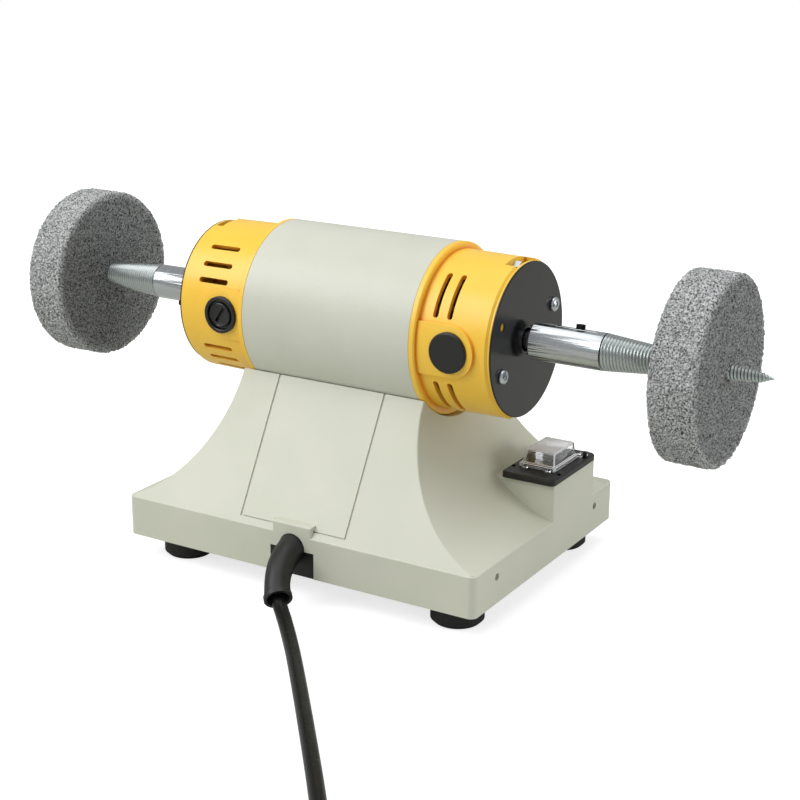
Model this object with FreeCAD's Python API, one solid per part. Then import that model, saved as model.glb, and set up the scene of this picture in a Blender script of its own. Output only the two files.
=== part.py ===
"""Dental polishing lathe: a twin-spindle universal motor cradled on a cast pedestal.

Frame: millimetres, +Z up, the bench at Z = 0, the spindle axis along X at Y = 0, and
X = 0 midway between the two spindles. The mains cord leaves towards -Y, and the
operator stands at +Y.
"""
import FreeCAD, Part
import math
import os

V = FreeCAD.Vector
ALONG_X = V(1, 0, 0)
ALONG_Y = V(0, 1, 0)
ALONG_Z = V(0, 0, 1)
BOTH_SIDES = (-1, 1)

# ---------------------------------------------------------------- driving dimensions
# Pedestal casting
axis_height = 140.0            # bench to spindle axis
foot_height = 13.3             # rubber showing below the casting
foot_radius = 14.5
foot_spacing_x = 178.2
foot_spacing_y = 125.0
feet_middle = 6.0              # the feet are set a little towards the switch end
foot_edge_round = 2.0
slab_length = 225.7
slab_width = 169.6
slab_height = 23.3
slab_corner_radius = 4.0
slab_offset = 4.05             # slab centre towards the switch end
tower_right = 58.5             # ends of the tower below the motor
tower_left = -60.3
cradle_half_width = 36.0       # where the sloped faces meet the motor shell
right_lip_radius = 38.3        # small arc that starts the right-hand sweep
right_lip_angle = 11.5
right_lip_drop = 2.1           # below the line where the motor shell touches the slopes
left_lip_drop = 4.6
casting_wall = 6.0
edge_round = 0.8               # near slope and sweeps start this far inside the slab's edge
far_ledge = 8.8                # flat of the slab below the operator's face
saddle_gap = 0.6               # shadow line between shell and cradle
saddle_pad_offset = 40.0       # seating pads from the shell's middle
saddle_pad_width = 7.0
saddle_pad_margin = 4.0        # pads inside the edge of the cradle
wire_hole_radius = 6.0
panel_half_top = 34.5          # grooved panel on each sloped face
panel_half_bottom = 34.0
panel_top_shift = -1.1         # the panel leans: its middle at the top and at the foot
panel_bottom_shift = 3.0
panel_bottom_rise = 3.7
panel_groove_width = 1.5
panel_base_groove_width = 0.7
panel_groove_depth = 0.8
tapped_hole_radius = 2.1       # M5 tapping in the right-hand end
tapped_hole_spacing = 120.0
tapped_hole_rise = 15.0
foot_post_radius = 9.0

# Cord outlet
outlet_x = 4.3
outlet_boss_half_width = 12.8
outlet_boss_top = 42.7
outlet_boss_depth = 16.0
outlet_boss_round = 1.2
outlet_hole_rise = 28.9        # bench to the centre of the cord hole
outlet_hole_radius = 8.15
insert_half_width = 14.1
insert_top = 28.0
insert_setback = 0.4
trim_clearance = 0.15

# Bottom cover and its screws
cover_thickness = 1.5
cover_inset = 3.0
cover_clearance = 0.2
screw_clearance = 0.25
foot_screw_radius = 2.4
foot_screw_head_radius = 4.4
foot_screw_head_height = 3.2
foot_screw_recess = 5.5
foot_recess_gap = 1.0          # round the screw's head
foot_screw_length = 20.0
foot_screw_spare = 2.0         # blind hole past the screw's end

# Motor
shell_radius = 47.8
shell_wall = 3.5
shell_screw_radius = 2.5
shell_screw_head_radius = 4.5
shell_screw_head_height = 3.5
shell_screw_socket = 4.0       # across flats
shell_post_radius = 7.0
shell_post_drop = 3.0          # posts below the cradle's wall
shell_edge_round = 0.4
wire_bush_gap = 1.0            # wire hole in the shell inside the one in the casting
shell_left = -53.2
shell_right = 54.8
bell_end = 98.6                # outer faces of both bells, from the middle
bell_flange = 3.1
bell_step = 3.7                # bell below the shell's surface
bell_draft = 0.6               # taper over the bell's length
bell_wall = 2.8
bell_end_wall = 4.0
bell_spigot = 5.0
bell_edge_round = 1.0
bell_flange_round = 0.6
bell_shaft_gap = 2.5           # round the shaft, in the end wall
bell_rib_width = 2.5
bell_rib_sink = 0.8            # ribs sunk into the bearing seat and the wall
disc_pillar_wall = 2.4
disc_pillar_depth = 6.0
pad_inner_reach = 0.7          # side pads start at this share of the bell's inner radius
spigot_clearance = 0.1
boss_rise = 1.5                # raised pad round each side opening
boss_half_width = 14.3
brush_x = 69.0                 # brush openings on the left bell
blank_x = 77.3                 # blanked openings on the right bell
brush_flange_radius = 10.5
blank_plug_radius = 11.0
blank_plug_round = 0.8
brush_flange_round = 0.5
plug_rise = 3.1                # side caps above the bell's root
slot_width = 3.1
left_slot_inner = 67.6
left_slot_outer = 87.6
left_slot_angles = (50.5, 35.7, 23.2, -30.5, -43.0, -57.0)
right_slot_positions = (66.8, 75.2)
right_slot_spans = ((24.0, 55.0), (-57.0, -27.0))
disc_margin = 1.2              # disc inside the bell's edge
disc_thickness = 2.1
disc_edge_round = 0.35
disc_bore_radius = 8.0
disc_hole_radius = 2.3
disc_hole_margin = 10.1        # hole centres inside the disc's edge
disc_hole_angle = 24.4         # above and below the spindle plane
disc_screw_radius = 1.9
disc_screw_length = 6.5
disc_screw_head_radius = 4.0
disc_screw_head_height = 3.0
tie_bolt_radius = 2.5
tie_bolt_margin = 0.7          # between a tie bolt and the bell's wall
tie_column_wall = 2.7
tie_nut_flat = 8.0
tie_nut_height = 4.0
tie_notch_depth = 6.7
tie_notch_half_width = 11.4
tie_bolt_beyond = 1.4          # bolt end past its nut
tie_notch_reach = 5.5          # notch below the bolt's centre

# Bearings, rotor and stator
shaft_radius = 5.0
shaft_shoulder_radius = 6.5
shaft_end = 140.0
bearing_radius = 15.0
bearing_width = 9.0
bearing_ring_thickness = 2.8
bearing_ball_count = 7
running_clearance = 0.05
seal_thickness = 0.8
bearing_boss_wall = 4.0
stack_length = 50.0
air_gap = 0.8                  # between armature and pole shoes
armature_slots = 12
armature_slot_width = 3.4
armature_slot_depth = 8.0
winding_length = 12.0
winding_inset = 2.5            # end turns below the armature's surface
winding_profile = ((0.45, 1.0), (0.85, 0.8), (1.0, 0.55))   # shares of length and radius
commutator_radius = 13.0
commutator_length = 20.0
riser_length = 3.0
riser_height = 2.0
fan_clearance = 1.3            # inside the tie-bolt columns
fan_inner = 60.0
fan_outer = 72.0
fan_blades = 9
fan_plate = 1.5
fan_hub_wall = 3.0
fan_blade_thickness = 1.6
fan_blade_lean = 20.0
core_clearance = 0.2           # field core inside the motor shell
yoke_thickness = 8.1
pole_half_width = 13.0
pole_shoe_thickness = 3.0
pole_shoe_half_angle = 52.0
coil_margin = 8.0              # thickness of the field coils past the pole necks
coil_clearance = 0.2
coil_thickness = 4.8           # between pole shoe and yoke
brush_width = 8.2
brush_thickness = 6.2
brush_length = 18.0
brush_tube_radius = 6.6
brush_tube_end = 16.0          # inner end of the holder, from the spindle plane
brush_cap_radius = 7.2
brush_cap_rise = 0.5           # above the holder's flange
brush_slot_width = 1.6
brush_slot_depth = 1.7
brush_slot_turn = 62.0
brush_side_clearance = 0.1
brush_spring_radii = (2.6, 1.7)

# Spindles and wheels
spindle_radius = 10.1
spindle_inner = 105.1
spindle_bore_depth = 36.0
thread_start = 146.3           # the tapered thread begins
thread_end = 231.0
thread_end_radius = 2.8
spindle_tip = 237.9
spindle_tip_radius = 0.35
set_screw_radius = 2.5
set_screw_positions = (117.3, 130.6)
set_screw_reach = (9.4, 12.4)  # outer ends, from the spindle axis
set_screw_angle = 10.0         # from straight up, towards the operator
set_screw_socket = 2.5         # across flats
set_screw_socket_depth = 1.8
spindle_edge_round = 0.6
spindle_drill_point = 2.0
wheel_radius = 50.0
wheel_thickness = 25.1
wheel_edge_round = 2.2
wheel_right = 202.2            # middle planes
wheel_left = -197.1

# Switch
switch_block_margin = 4.1      # block beyond the bezel, buried in the sweep
switch_block_near = 5.2
switch_block_far = 57.2
switch_block_top = 58.2
switch_block_wall = 4.0
frame_length = 54.8            # along Y
frame_width = 32.6             # along X
frame_thickness = 3.5
frame_corner_radius = 3.0
frame_overhang = 0.8           # past the end of the slab
frame_edge_round = 0.7
frame_centre_y = 30.0
switch_half_x = 10.4           # body of the rocker switch
switch_half_y = 14.4
switch_flange = 0.9
switch_flange_thickness = 1.2
switch_depth = 22.0
rim_half_x = 8.9
rim_half_y = 13.4
rim_height = 1.5
rim_corner_radius = 1.5
rocker_half_x = 7.2
rocker_radius = 12.2
rocker_gap = 0.35
rocker_pivot_drop = 1.0        # pivot below the frame's top
rocker_pin_radius = 1.5
rocker_pin_gap = 0.1
rocker_pin_depth = 0.6         # pins into the switch's rim
rocker_crown = 5.6             # ends of the rocker above its pivot
rocker_valley = 3.2
rocker_belly = 4.0
rocker_well_drop = 7.0
rocker_tilt = 10.0
terminal_half_x, terminal_half_y = 2.4, 0.4
terminal_length = 8.0
terminal_spread_x, terminal_spread_y = 5.0, 7.0
lid_base_x = 22.0
lid_base_y = 31.0
lid_top_x = 17.4
lid_top_y = 26.0
lid_height = 9.3
lid_wall = 1.2
lid_gap = 0.1
lid_edge_round = 1.1
lug_length = 5.6               # thick hinge end of the lid's sides
lug_setback = 1.4
lug_rise = 0.9                 # above the hinge pin
corner_length = 3.0            # thick front corners
corner_setback = 0.4
corner_height = 2.3
tab_spread = 7.0               # catch tabs either side of the middle
tab_half_width = 1.6
tab_reach = 1.3
pocket_spread = 14.0           # finger pockets in the bezel
pocket_half_width = 1.1
pocket_length = 3.4
pocket_depth = 1.4
hinge_back = 18.5              # hinge pin behind the lid's middle
hinge_rise = 1.6
hinge_arm_radius = 1.3
hinge_pin_radius = 0.9
hinge_arm_width = 1.4
hinge_post_width = 2.3
hinge_post_radius = 1.7
hinge_side_gap = 0.3           # between an arm and its post

# Speed control
knob_rise = 47.0               # up the sloped face, from the slab
knob_radius = 14.0
knob_top_radius = 12.6
knob_height = 16.0
knob_gap = 0.8
knob_rest_angle = 135.0        # pointer at its lowest speed, from straight up
potentiometer_radius = 12.0
potentiometer_depth = 9.0
bushing_radius = 3.4
control_shaft_radius = 2.95
control_nut_flat = 10.0
control_nut_height = 2.0
control_bore_depth = 2.0       # shaft's seat above the back of the control
knob_edge_round = 1.5
knob_flutes = 16
knob_flute_radius = 1.3
knob_skirt = 2.5               # plain band below the flutes
knob_cap = 4.0                 # solid top over the shaft
knob_recess_radius = 7.6
knob_pointer_width = 1.6
knob_pointer_rise = 0.6

# Control board inside the slab
board_x, board_y = -42.0, 14.0
board_half_x, board_half_y = 30.0, 21.0
board_thickness = 1.6
spacer_height = 6.0
spacer_radius = 2.6
spacer_inset = 4.0             # spacers inside the board's corners
sink_left, sink_right, sink_near, sink_far = -22.0, -8.5, -15.0, 5.0    # from the board's middle
sink_base = 2.0
sink_height = 20.0
sink_fins = 4
fin_thickness = 1.5
device_left, device_right, device_near, device_far, device_height = -4.0, 1.0, -10.0, 0.0, 15.0
choke_x, choke_y, choke_radius, choke_height = 15.0, -8.0, 7.0, 8.0
capacitor_left, capacitor_right, capacitor_near, capacitor_far = 4.0, 22.0, 6.0, 13.0
capacitor_height = 13.0
terminal_block_x, terminal_block_y = 39.0, -35.0
terminal_block_half_x, terminal_block_half_y, terminal_block_height = 13.0, 9.0, 14.0
terminal_entry_radius = 2.2
terminal_screw_radius = 2.4
terminal_pitch = 8.5
terminal_entry_rise = 5.0
terminal_cut_depth = 4.0

# Mains cord: its route is the list below, and its far end is wound into a coil
cord_radius = 3.9
cord_floor_gap = 0.1
boot_sag = 0.3                 # the boot leaves its collar this far below the middle
boot_collar_radius = 8.0
boot_flange_radius = 10.5
boot_flange_thickness = 3.0
boot_radii = (8.0, 7.6, 7.2, 6.9, 7.7)
boot_lip_length = 2.5
boot_lip_wall = 1.3
boot_mouth_depth = 4.6
clamp_half_width = 10.5
clamp_thickness = 4.6
clamp_cap = 3.0                # clamp above the cord
clamp_gap = 0.5
coil_radius = 43.0             # middle of the turns
coil_turns_wide = 3
coil_turns_high = 2
coil_exit_turn = 95.0          # past the whole turns, where the plug end leaves
coil_corner = 0.6              # the coil's rounded corners, as a share of the cord's radius
plug_lead = 24.0
plug_lead_bend = 12.0
plug_length = 32.0
plug_width = 26.0
plug_edge_round = 5.0
plug_shoulder = 3.0
plug_relief_length = 22.0
plug_relief_wall = (1.2, 3.4)  # over the cord, at both ends of the strain relief
plug_blade_length = 17.0
plug_blade_thickness = 1.5
plug_blade_height = 6.3
plug_blade_offset = 6.35       # blades either side of the middle
plug_blade_low = -0.5
earth_pin_radius = 2.4
earth_pin_longer = 3.0
earth_pin_drop = 7.5           # below the middle of the plug

# ---------------------------------------------------------------- places that follow
slab_bottom = foot_height
slab_top = slab_bottom + slab_height
slab_half_width = slab_width / 2
slab_right = slab_offset + slab_length / 2
slab_left = slab_offset - slab_length / 2
lip_z = axis_height - math.sqrt(shell_radius**2 - cradle_half_width**2)
saddle_radius = shell_radius + saddle_gap
bell_root_radius = shell_radius - bell_step
bell_tip_radius = bell_root_radius - bell_draft
bell_inner_radius = bell_tip_radius - bell_wall
slot_reach = bell_root_radius + boss_rise + 1
slot_depth = bell_inner_radius - 2
plug_face = bell_root_radius + plug_rise
disc_radius = bell_tip_radius - disc_margin
disc_hole_y = (disc_radius - disc_hole_margin) * math.cos(math.radians(disc_hole_angle))
disc_hole_z = (disc_radius - disc_hole_margin) * math.sin(math.radians(disc_hole_angle))
tie_radius = bell_inner_radius - tie_bolt_margin - tie_bolt_radius
tie_notch_floor = tie_radius - tie_notch_reach
core_radius = shell_radius - shell_wall - core_clearance
coil_outer_radius = core_radius - yoke_thickness - coil_clearance
coil_inner_radius = coil_outer_radius - coil_thickness
pole_bore = coil_inner_radius - coil_clearance - pole_shoe_thickness
armature_radius = pole_bore - air_gap
winding_radius = armature_radius - winding_inset
fan_radius = tie_radius - tie_bolt_radius - tie_column_wall - fan_clearance
shell_post_bottom = axis_height - saddle_radius - casting_wall - shell_post_drop
shell_inner_radius = shell_radius - shell_wall
shell_middle = (shell_left + shell_right) / 2
cover_top = slab_bottom + cover_thickness
board_bottom = cover_top + spacer_height
board_top = board_bottom + board_thickness
bearing_outer = bell_end - bell_end_wall
bearing_inner = bearing_outer - bearing_width
near_slope_foot = slab_half_width - edge_round
far_slope_foot = slab_half_width - far_ledge
slope_rise = lip_z - slab_top
frame_top = switch_block_top + frame_thickness
frame_right = slab_right + frame_overhang
frame_left = frame_right - frame_width
frame_near = frame_centre_y - frame_length / 2
frame_far = frame_centre_y + frame_length / 2
lid_swing = frame_thickness + hinge_rise + hinge_back + lid_base_y / 2 + 1
switch_x = frame_right - frame_width / 2
switch_y = frame_centre_y
rocker_pivot_z = frame_top - rocker_pivot_drop
hinge_y = switch_y + hinge_back
hinge_z = frame_top + hinge_rise
cord_z = cord_radius + cord_floor_gap
cord_diameter = 2 * cord_radius
upper_cord_z = cord_z + cord_diameter * (coil_turns_high - 1)
plug_thickness = 2 * (upper_cord_z - cord_floor_gap)
boot_start_y = -slab_half_width

# Route of the cord, from its clamp inside the casting to the coil on the bench
cord_route = [
    V(outlet_x, -70.6, outlet_hole_rise),
    V(outlet_x, -81.0, outlet_hole_rise),
    V(5.1, -91.3, 27.0),
    V(7.3, -100.5, 23.3),
    V(10.6, -107.9, 17.9),
    V(15.2, -113.8, 11.8),
    V(23.6, -120.9, 7.4),
    V(34.2, -131.9, 4.9),
    V(50.0, -150.0, cord_z),
    V(75.3, -181.0, cord_z),
    V(104.0, -216.6, cord_z),
    V(136.1, -256.9, cord_z),
    V(161.6, -290.4, cord_z),
    V(185.8, -324.6, cord_z),
]
boot_first_point = 1           # the boot follows the route from here
boot_last_point = 5            # to its open lip


# ---------------------------------------------------------------- shape helpers
def box(x0, x1, y0, y1, z0, z1):
    """Block between two corners."""
    return Part.makeBox(x1 - x0, y1 - y0, z1 - z0, V(x0, y0, z0))


def cylinder_x(radius, x0, x1, y=0.0, z=axis_height):
    """Cylinder along X, about the spindle axis unless told otherwise."""
    return Part.makeCylinder(radius, x1 - x0, V(x0, y, z), ALONG_X)


def cylinder_y(radius, y0, y1, x, z=axis_height):
    """Cylinder along Y."""
    return Part.makeCylinder(radius, y1 - y0, V(x, y0, z), ALONG_Y)


def cylinder_z(radius, z0, z1, x, y):
    """Cylinder along Z."""
    return Part.makeCylinder(radius, z1 - z0, V(x, y, z0), ALONG_Z)


def ring_x(outer, inner, x0, x1):
    """Plain ring about the spindle axis."""
    return cylinder_x(outer, x0, x1).cut(cylinder_x(inner, x0 - 1, x1 + 1))


def turned_x(profile):
    """Turned piece about the spindle axis, from (x, radius) points."""
    points = [V(x, 0, axis_height + radius) for x, radius in profile]
    face = Part.Face(Part.makePolygon(points + points[:1]))
    return face.revolve(V(0, 0, axis_height), ALONG_X, 360)


def turned_z(profile, x, y):
    """Turned piece about an upright axis, from (radius, z) points."""
    points = [V(x + radius, y, z) for radius, z in profile]
    face = Part.Face(Part.makePolygon(points + points[:1]))
    return face.revolve(V(x, y, 0), ALONG_Z, 360)


def about_axis(shape, degrees):
    """Copy turned about the spindle axis."""
    turned = shape.copy()
    turned.rotate(V(0, 0, axis_height), ALONG_X, degrees)
    return turned


def other_side(shape):
    """Copy mirrored to the other side of the spindle plane."""
    return shape.mirror(V(0, 0, 0), ALONG_Y)


def other_end(shape):
    """Copy mirrored to the other end of the machine."""
    return shape.mirror(V(0, 0, 0), ALONG_X)


def rounded_block(x0, x1, y0, y1, z0, z1, radius):
    """Block with rounded upright edges."""
    block = box(x0, x1, y0, y1, z0, z1)
    upright = [edge for edge in block.Edges if abs(edge.tangentAt(edge.FirstParameter).z) > 0.99]
    return block.makeFillet(radius, upright)


def hexagon(flat, height):
    """Hexagonal prism along Z, centred on the origin."""
    corner = flat / math.sqrt(3)
    angles = [math.radians(60 * step) for step in range(7)]
    points = [V(corner * math.cos(angle), corner * math.sin(angle), 0) for angle in angles]
    return Part.Face(Part.makePolygon(points)).extrude(V(0, 0, height))


def edges_where(shape, test):
    """Edges whose centre and length pass a test."""
    return [edge for edge in shape.Edges if test(edge.CenterOfMass, edge.Length)]


def runs_along(edge, direction):
    """Whether an edge is a straight line along a direction."""
    start, finish = edge.Vertexes[0].Point, edge.Vertexes[-1].Point
    return abs(abs((finish - start).dot(direction)) - edge.Length) < 1e-4


# ---------------------------------------------------------------- pedestal casting
def footprint(inset, z0, z1):
    """Rounded outline of the slab, drawn in by an inset."""
    corner = max(slab_corner_radius - inset, 1.0)
    return rounded_block(slab_left + inset, slab_right - inset, inset - slab_half_width,
                         slab_half_width - inset, z0, z1, corner)


def slope_axes(side):
    """Foot, upward direction, outward direction and length of the sloped face on one side."""
    foot_y = far_slope_foot if side > 0 else near_slope_foot
    run = foot_y - cradle_half_width
    length = math.hypot(run, slope_rise)
    upward = V(0, -side * run / length, slope_rise / length)
    outward = V(0, side * slope_rise / length, run / length)
    return V(0, side * foot_y, slab_top), upward, outward, length


def slope_prism(inset):
    """Space between the two sloped faces, each moved inwards by an inset."""
    start = V(slab_left - 1, 0, 0)
    points = []
    for side in BOTH_SIDES:
        foot, upward, outward, length = slope_axes(side)
        low = start + foot - outward * inset - upward * (edge_round + inset)
        high = start + foot - outward * inset + upward * (length + casting_wall)
        points += [low, high] if side < 0 else [high, low]
    return Part.Face(Part.makePolygon(points + points[:1])).extrude(V(slab_length + 2, 0, 0))


def sweep_points(tower_x, drop, lip_radius, lip_angle, end_x, inset):
    """Concave end of the tower: the small lip arc and the large sweep, as five points.

    The sweep leaves the lip arc smoothly and ends at the slab's edge, or lies flat on the slab
    where its lowest point would come before that edge.
    """
    side = 1 if end_x > tower_x else -1
    angle = math.radians(lip_angle)
    start = V(tower_x, 0, lip_z - drop)
    centre = start + V(side * lip_radius, 0, 0)
    joint = centre + V(-side * math.cos(angle), 0, -math.sin(angle)) * lip_radius
    towards = V(side * math.cos(angle), 0, math.sin(angle))
    foot = V(end_x, 0, slab_top)
    chord = foot - joint
    radius = chord.dot(chord) / (2 * towards.dot(chord))
    if abs(towards.x) * radius < abs(end_x - joint.x):
        radius = (joint.z - slab_top) / (1 - math.sin(angle))
        foot = V(joint.x + towards.x * radius, 0, slab_top)
    sweep_centre = joint + towards * radius
    finish = sweep_centre + (foot - sweep_centre).normalize() * (radius + inset)
    first = sweep_centre - towards * (radius + inset)
    middle = sweep_centre + ((first - sweep_centre) + (finish - sweep_centre)).normalize() * (radius + inset)
    lip_start = centre - V(side * (lip_radius + inset), 0, 0)
    half = angle / 2
    lip_middle = centre + V(-side * math.cos(half), 0, -math.sin(half)) * (lip_radius + inset)
    return lip_start, lip_middle, first, middle, finish


def end_prism(inset):
    """Space between the two concave ends, each moved inwards by an inset."""
    right = sweep_points(tower_right, right_lip_drop, right_lip_radius, right_lip_angle,
                         slab_right - edge_round, inset)
    left = sweep_points(tower_left, left_lip_drop, right_lip_radius, 0.0, slab_left + edge_round, inset)
    top = axis_height
    floor = slab_top - inset
    edges = [Part.LineSegment(V(right[0].x, 0, top), right[0]).toShape(),
             Part.Arc(right[0], right[1], right[2]).toShape(),
             Part.Arc(right[2], right[3], right[4]).toShape()]
    low_right = V(right[4].x, 0, floor - 0.5)
    low_left = V(left[4].x, 0, floor - 0.5)
    edges.append(Part.LineSegment(right[4], low_right).toShape())
    edges.append(Part.LineSegment(low_right, low_left).toShape())
    edges.append(Part.LineSegment(low_left, left[4]).toShape())
    edges.append(Part.Arc(left[4], left[3], left[2]).toShape())
    edges.append(Part.LineSegment(left[2], V(left[2].x, 0, top)).toShape())
    edges.append(Part.LineSegment(V(left[2].x, 0, top), V(right[0].x, 0, top)).toShape())
    face = Part.Face(Part.Wire(Part.__sortEdges__(edges)))
    face.translate(V(0, -slab_half_width - 1, 0))
    return face.extrude(V(0, slab_width + 2, 0))


def tower_form(inset):
    """Tower between slopes and sweeps, sunk a little into the slab."""
    return slope_prism(inset).common(end_prism(inset))


def pedestal_form(inset):
    """Tower and slab as one form, drawn in by an inset."""
    slab = footprint(inset, slab_bottom, slab_top - inset)
    return slab.fuse(tower_form(inset).common(footprint(inset, slab_bottom, axis_height)))


def softened_pedestal():
    """Outer form of the casting with its outside edges rounded."""
    tower = tower_form(0.0)
    ridges = [edge for edge in tower.Edges if not runs_along(edge, ALONG_X) and not runs_along(edge, ALONG_Y)
              and edge.CenterOfMass.z < axis_height - 1 and edge.Length > 2 * edge_round]
    tower = tower.makeFillet(edge_round, ridges).common(footprint(edge_round, slab_bottom, axis_height))
    slab = footprint(0.0, slab_bottom, slab_top)
    rims = edges_where(slab, lambda centre, length: centre.z > slab_top - 0.01)
    return slab.makeFillet(edge_round, rims).fuse(tower)


def on_slope(shape, side, middle=0.0):
    """Piece drawn on a sloped face: x to the viewer's right, y up the slope, z outwards."""
    foot, upward, outward, length = slope_axes(side)
    along = upward.cross(outward)
    place = FreeCAD.Matrix(along.x, upward.x, outward.x, middle,
                           along.y, upward.y, outward.y, foot.y,
                           along.z, upward.z, outward.z, foot.z,
                           0, 0, 0, 1)
    placed = shape.copy()
    placed.Placement = FreeCAD.Placement(place).multiply(placed.Placement)
    return placed


def on_far_slope(shape):
    """Piece drawn on the operator's face, about the middle of the slab."""
    return on_slope(shape, 1, slab_offset)


def panel_outline(length, offset, base_offset):
    """Prism over the grooved panel, its sides and its base each moved outwards by an offset."""
    base = panel_bottom_rise - base_offset
    top_half, base_half = panel_half_top + offset, panel_half_bottom + offset
    points = [V(panel_top_shift - top_half, length, 0), V(panel_bottom_shift - base_half, base, 0),
              V(panel_bottom_shift + base_half, base, 0), V(panel_top_shift + top_half, length, 0)]
    face = Part.Face(Part.makePolygon(points + points[:1]))
    prism = face.extrude(V(0, 0, panel_groove_depth + 1))
    prism.translate(V(0, 0, -panel_groove_depth))
    return prism


def panel_groove(side):
    """Shallow line round the bare panel on a sloped face, finer along its foot."""
    half, base_half = panel_groove_width / 2, panel_base_groove_width / 2
    length = slope_axes(side)[-1] + casting_wall
    outline = panel_outline(length, half, base_half)
    return on_slope(outline.cut(panel_outline(length, -half, -base_half)), side)


def foot_centres():
    """Centres of the four feet."""
    return [(feet_middle + side_x * foot_spacing_x / 2, side_y * foot_spacing_y / 2)
            for side_x in BOTH_SIDES for side_y in BOTH_SIDES]


def saddle_pads():
    """Two raised bands in the cradle that the motor shell sits on."""
    pads = []
    for side in BOTH_SIDES:
        middle = shell_middle + side * saddle_pad_offset
        band = ring_x(saddle_radius + 1, shell_radius, middle - saddle_pad_width / 2,
                      middle + saddle_pad_width / 2)
        reach = cradle_half_width - saddle_pad_margin
        pads.append(band.common(box(middle - saddle_pad_width, middle + saddle_pad_width, -reach, reach,
                                    slab_top, axis_height)))
    return pads


def shell_screw_places():
    """Places of the screws that pull the shell into the cradle."""
    return [shell_middle + side * saddle_pad_offset for side in BOTH_SIDES]


def switch_block():
    """Solid corner block that carries the switch, flush with the end of the slab."""
    block = box(frame_left - switch_block_margin, slab_right, switch_block_near, switch_block_far,
                slab_bottom + 1, switch_block_top)
    corners = edges_where(block, lambda centre, length: centre.x > slab_right - 0.01
                          and abs(centre.z - (slab_bottom + 1 + switch_block_top) / 2) < 0.01)
    return block.makeFillet(edge_round, corners)


def outlet_boss():
    """Block above the cord outlet, flush with the side of the slab."""
    near, middle_z = -slab_half_width, (slab_bottom + 1 + outlet_boss_top) / 2
    block = box(outlet_x - outlet_boss_half_width, outlet_x + outlet_boss_half_width, near,
                near + outlet_boss_depth, slab_bottom + 1, outlet_boss_top)
    rims = edges_where(block, lambda centre, length: centre.y < near + 0.01 and centre.z > middle_z - 0.01)
    return block.makeFillet(outlet_boss_round, rims)


def base_casting():
    """Cast pedestal: hollow slab and tower with concave ends, sloped faces and cradle."""
    outer = softened_pedestal()
    solid = outer.fuse([switch_block(), outlet_boss()])
    cavity = pedestal_form(casting_wall).cut(cylinder_x(saddle_radius + casting_wall,
                                                        slab_left, slab_right))
    pocket = box(frame_left - switch_block_margin + switch_block_wall, slab_right - switch_block_wall,
                 switch_block_near + switch_block_wall, switch_block_far - switch_block_wall,
                 slab_bottom, switch_block_top - switch_block_wall)
    solid = solid.cut([cavity, pocket])
    mid_wall = pedestal_form(casting_wall / 2)
    posts = [cylinder_z(foot_post_radius, cover_top, axis_height, x, y).common(mid_wall)
             for x, y in foot_centres()]
    posts += [cylinder_z(shell_post_radius, shell_post_bottom, axis_height - shell_radius, x, 0)
              for x in shell_screw_places()]
    solid = solid.fuse(posts)
    cuts = [cylinder_x(saddle_radius, slab_left - 1, slab_right + 1),
            footprint(cover_inset - cover_clearance, slab_bottom - 1, cover_top),
            box(outlet_x - insert_half_width, outlet_x + insert_half_width, -slab_half_width - 1,
                casting_wall - slab_half_width + 1, slab_bottom - 1, insert_top),
            cylinder_y(outlet_hole_radius, -slab_half_width - 1,
                       outlet_boss_depth - slab_half_width, outlet_x, outlet_hole_rise),
            box(outlet_x - boot_flange_radius - 1, outlet_x + boot_flange_radius + 1,
                casting_wall - slab_half_width, outlet_boss_depth - slab_half_width + 4,
                slab_bottom - 1, outlet_hole_rise + boot_flange_radius + 1),
            box(switch_x - switch_half_x - trim_clearance, switch_x + switch_half_x + trim_clearance,
                switch_y - switch_half_y - trim_clearance, switch_y + switch_half_y + trim_clearance,
                slab_top, switch_block_top + 1),
            box(frame_left - trim_clearance, frame_right + 1, frame_near - trim_clearance,
                frame_far + trim_clearance, switch_block_top, switch_block_top + lid_swing)]
    cuts.append(cylinder_z(wire_hole_radius, slab_top, axis_height, shell_middle, 0))
    for x, y in foot_centres():
        cuts.append(cylinder_z(foot_screw_radius, slab_bottom - 1, slab_bottom + foot_screw_length, x, y))
    for side in BOTH_SIDES:
        cuts.append(cylinder_x(tapped_hole_radius, slab_right - casting_wall - 1, slab_right + 1,
                               side * tapped_hole_spacing / 2, slab_bottom + tapped_hole_rise))
    solid = solid.cut(cuts)
    pads = [pad.common(outer) for pad in saddle_pads()]
    solid = solid.fuse(pads)
    screws = [cylinder_z(shell_screw_radius + screw_clearance, slab_top, axis_height, x, 0)
              for x in shell_screw_places()]
    control = on_far_slope(Part.makeCylinder(bushing_radius + trim_clearance, 4 * casting_wall,
                                             V(0, knob_rise, -2 * casting_wall)))
    grooves = [panel_groove(side) for side in BOTH_SIDES]
    return solid.cut(screws + grooves + [control]).removeSplitter()


def bottom_cover():
    """Pressed sheet that closes the casting, held by the foot screws."""
    sheet = footprint(cover_inset, slab_bottom, cover_top)
    holes = [cylinder_z(foot_screw_radius + screw_clearance, slab_bottom - 1, cover_top + 1, x, y)
             for x, y in foot_centres()]
    return sheet.cut(holes)


def rubber_feet():
    """Four turned rubber feet with a recess for the screw head."""
    feet = []
    for x, y in foot_centres():
        foot = turned_z([(0, 0), (foot_radius - foot_edge_round, 0), (foot_radius, foot_edge_round),
                         (foot_radius, slab_bottom), (0, slab_bottom)], x, y)
        recess = cylinder_z(foot_screw_head_radius + foot_recess_gap, -1, foot_screw_recess, x, y)
        hole = cylinder_z(foot_screw_radius + screw_clearance, -1, slab_bottom + 1, x, y)
        feet.append(foot.cut([recess, hole]))
    return feet


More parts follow.
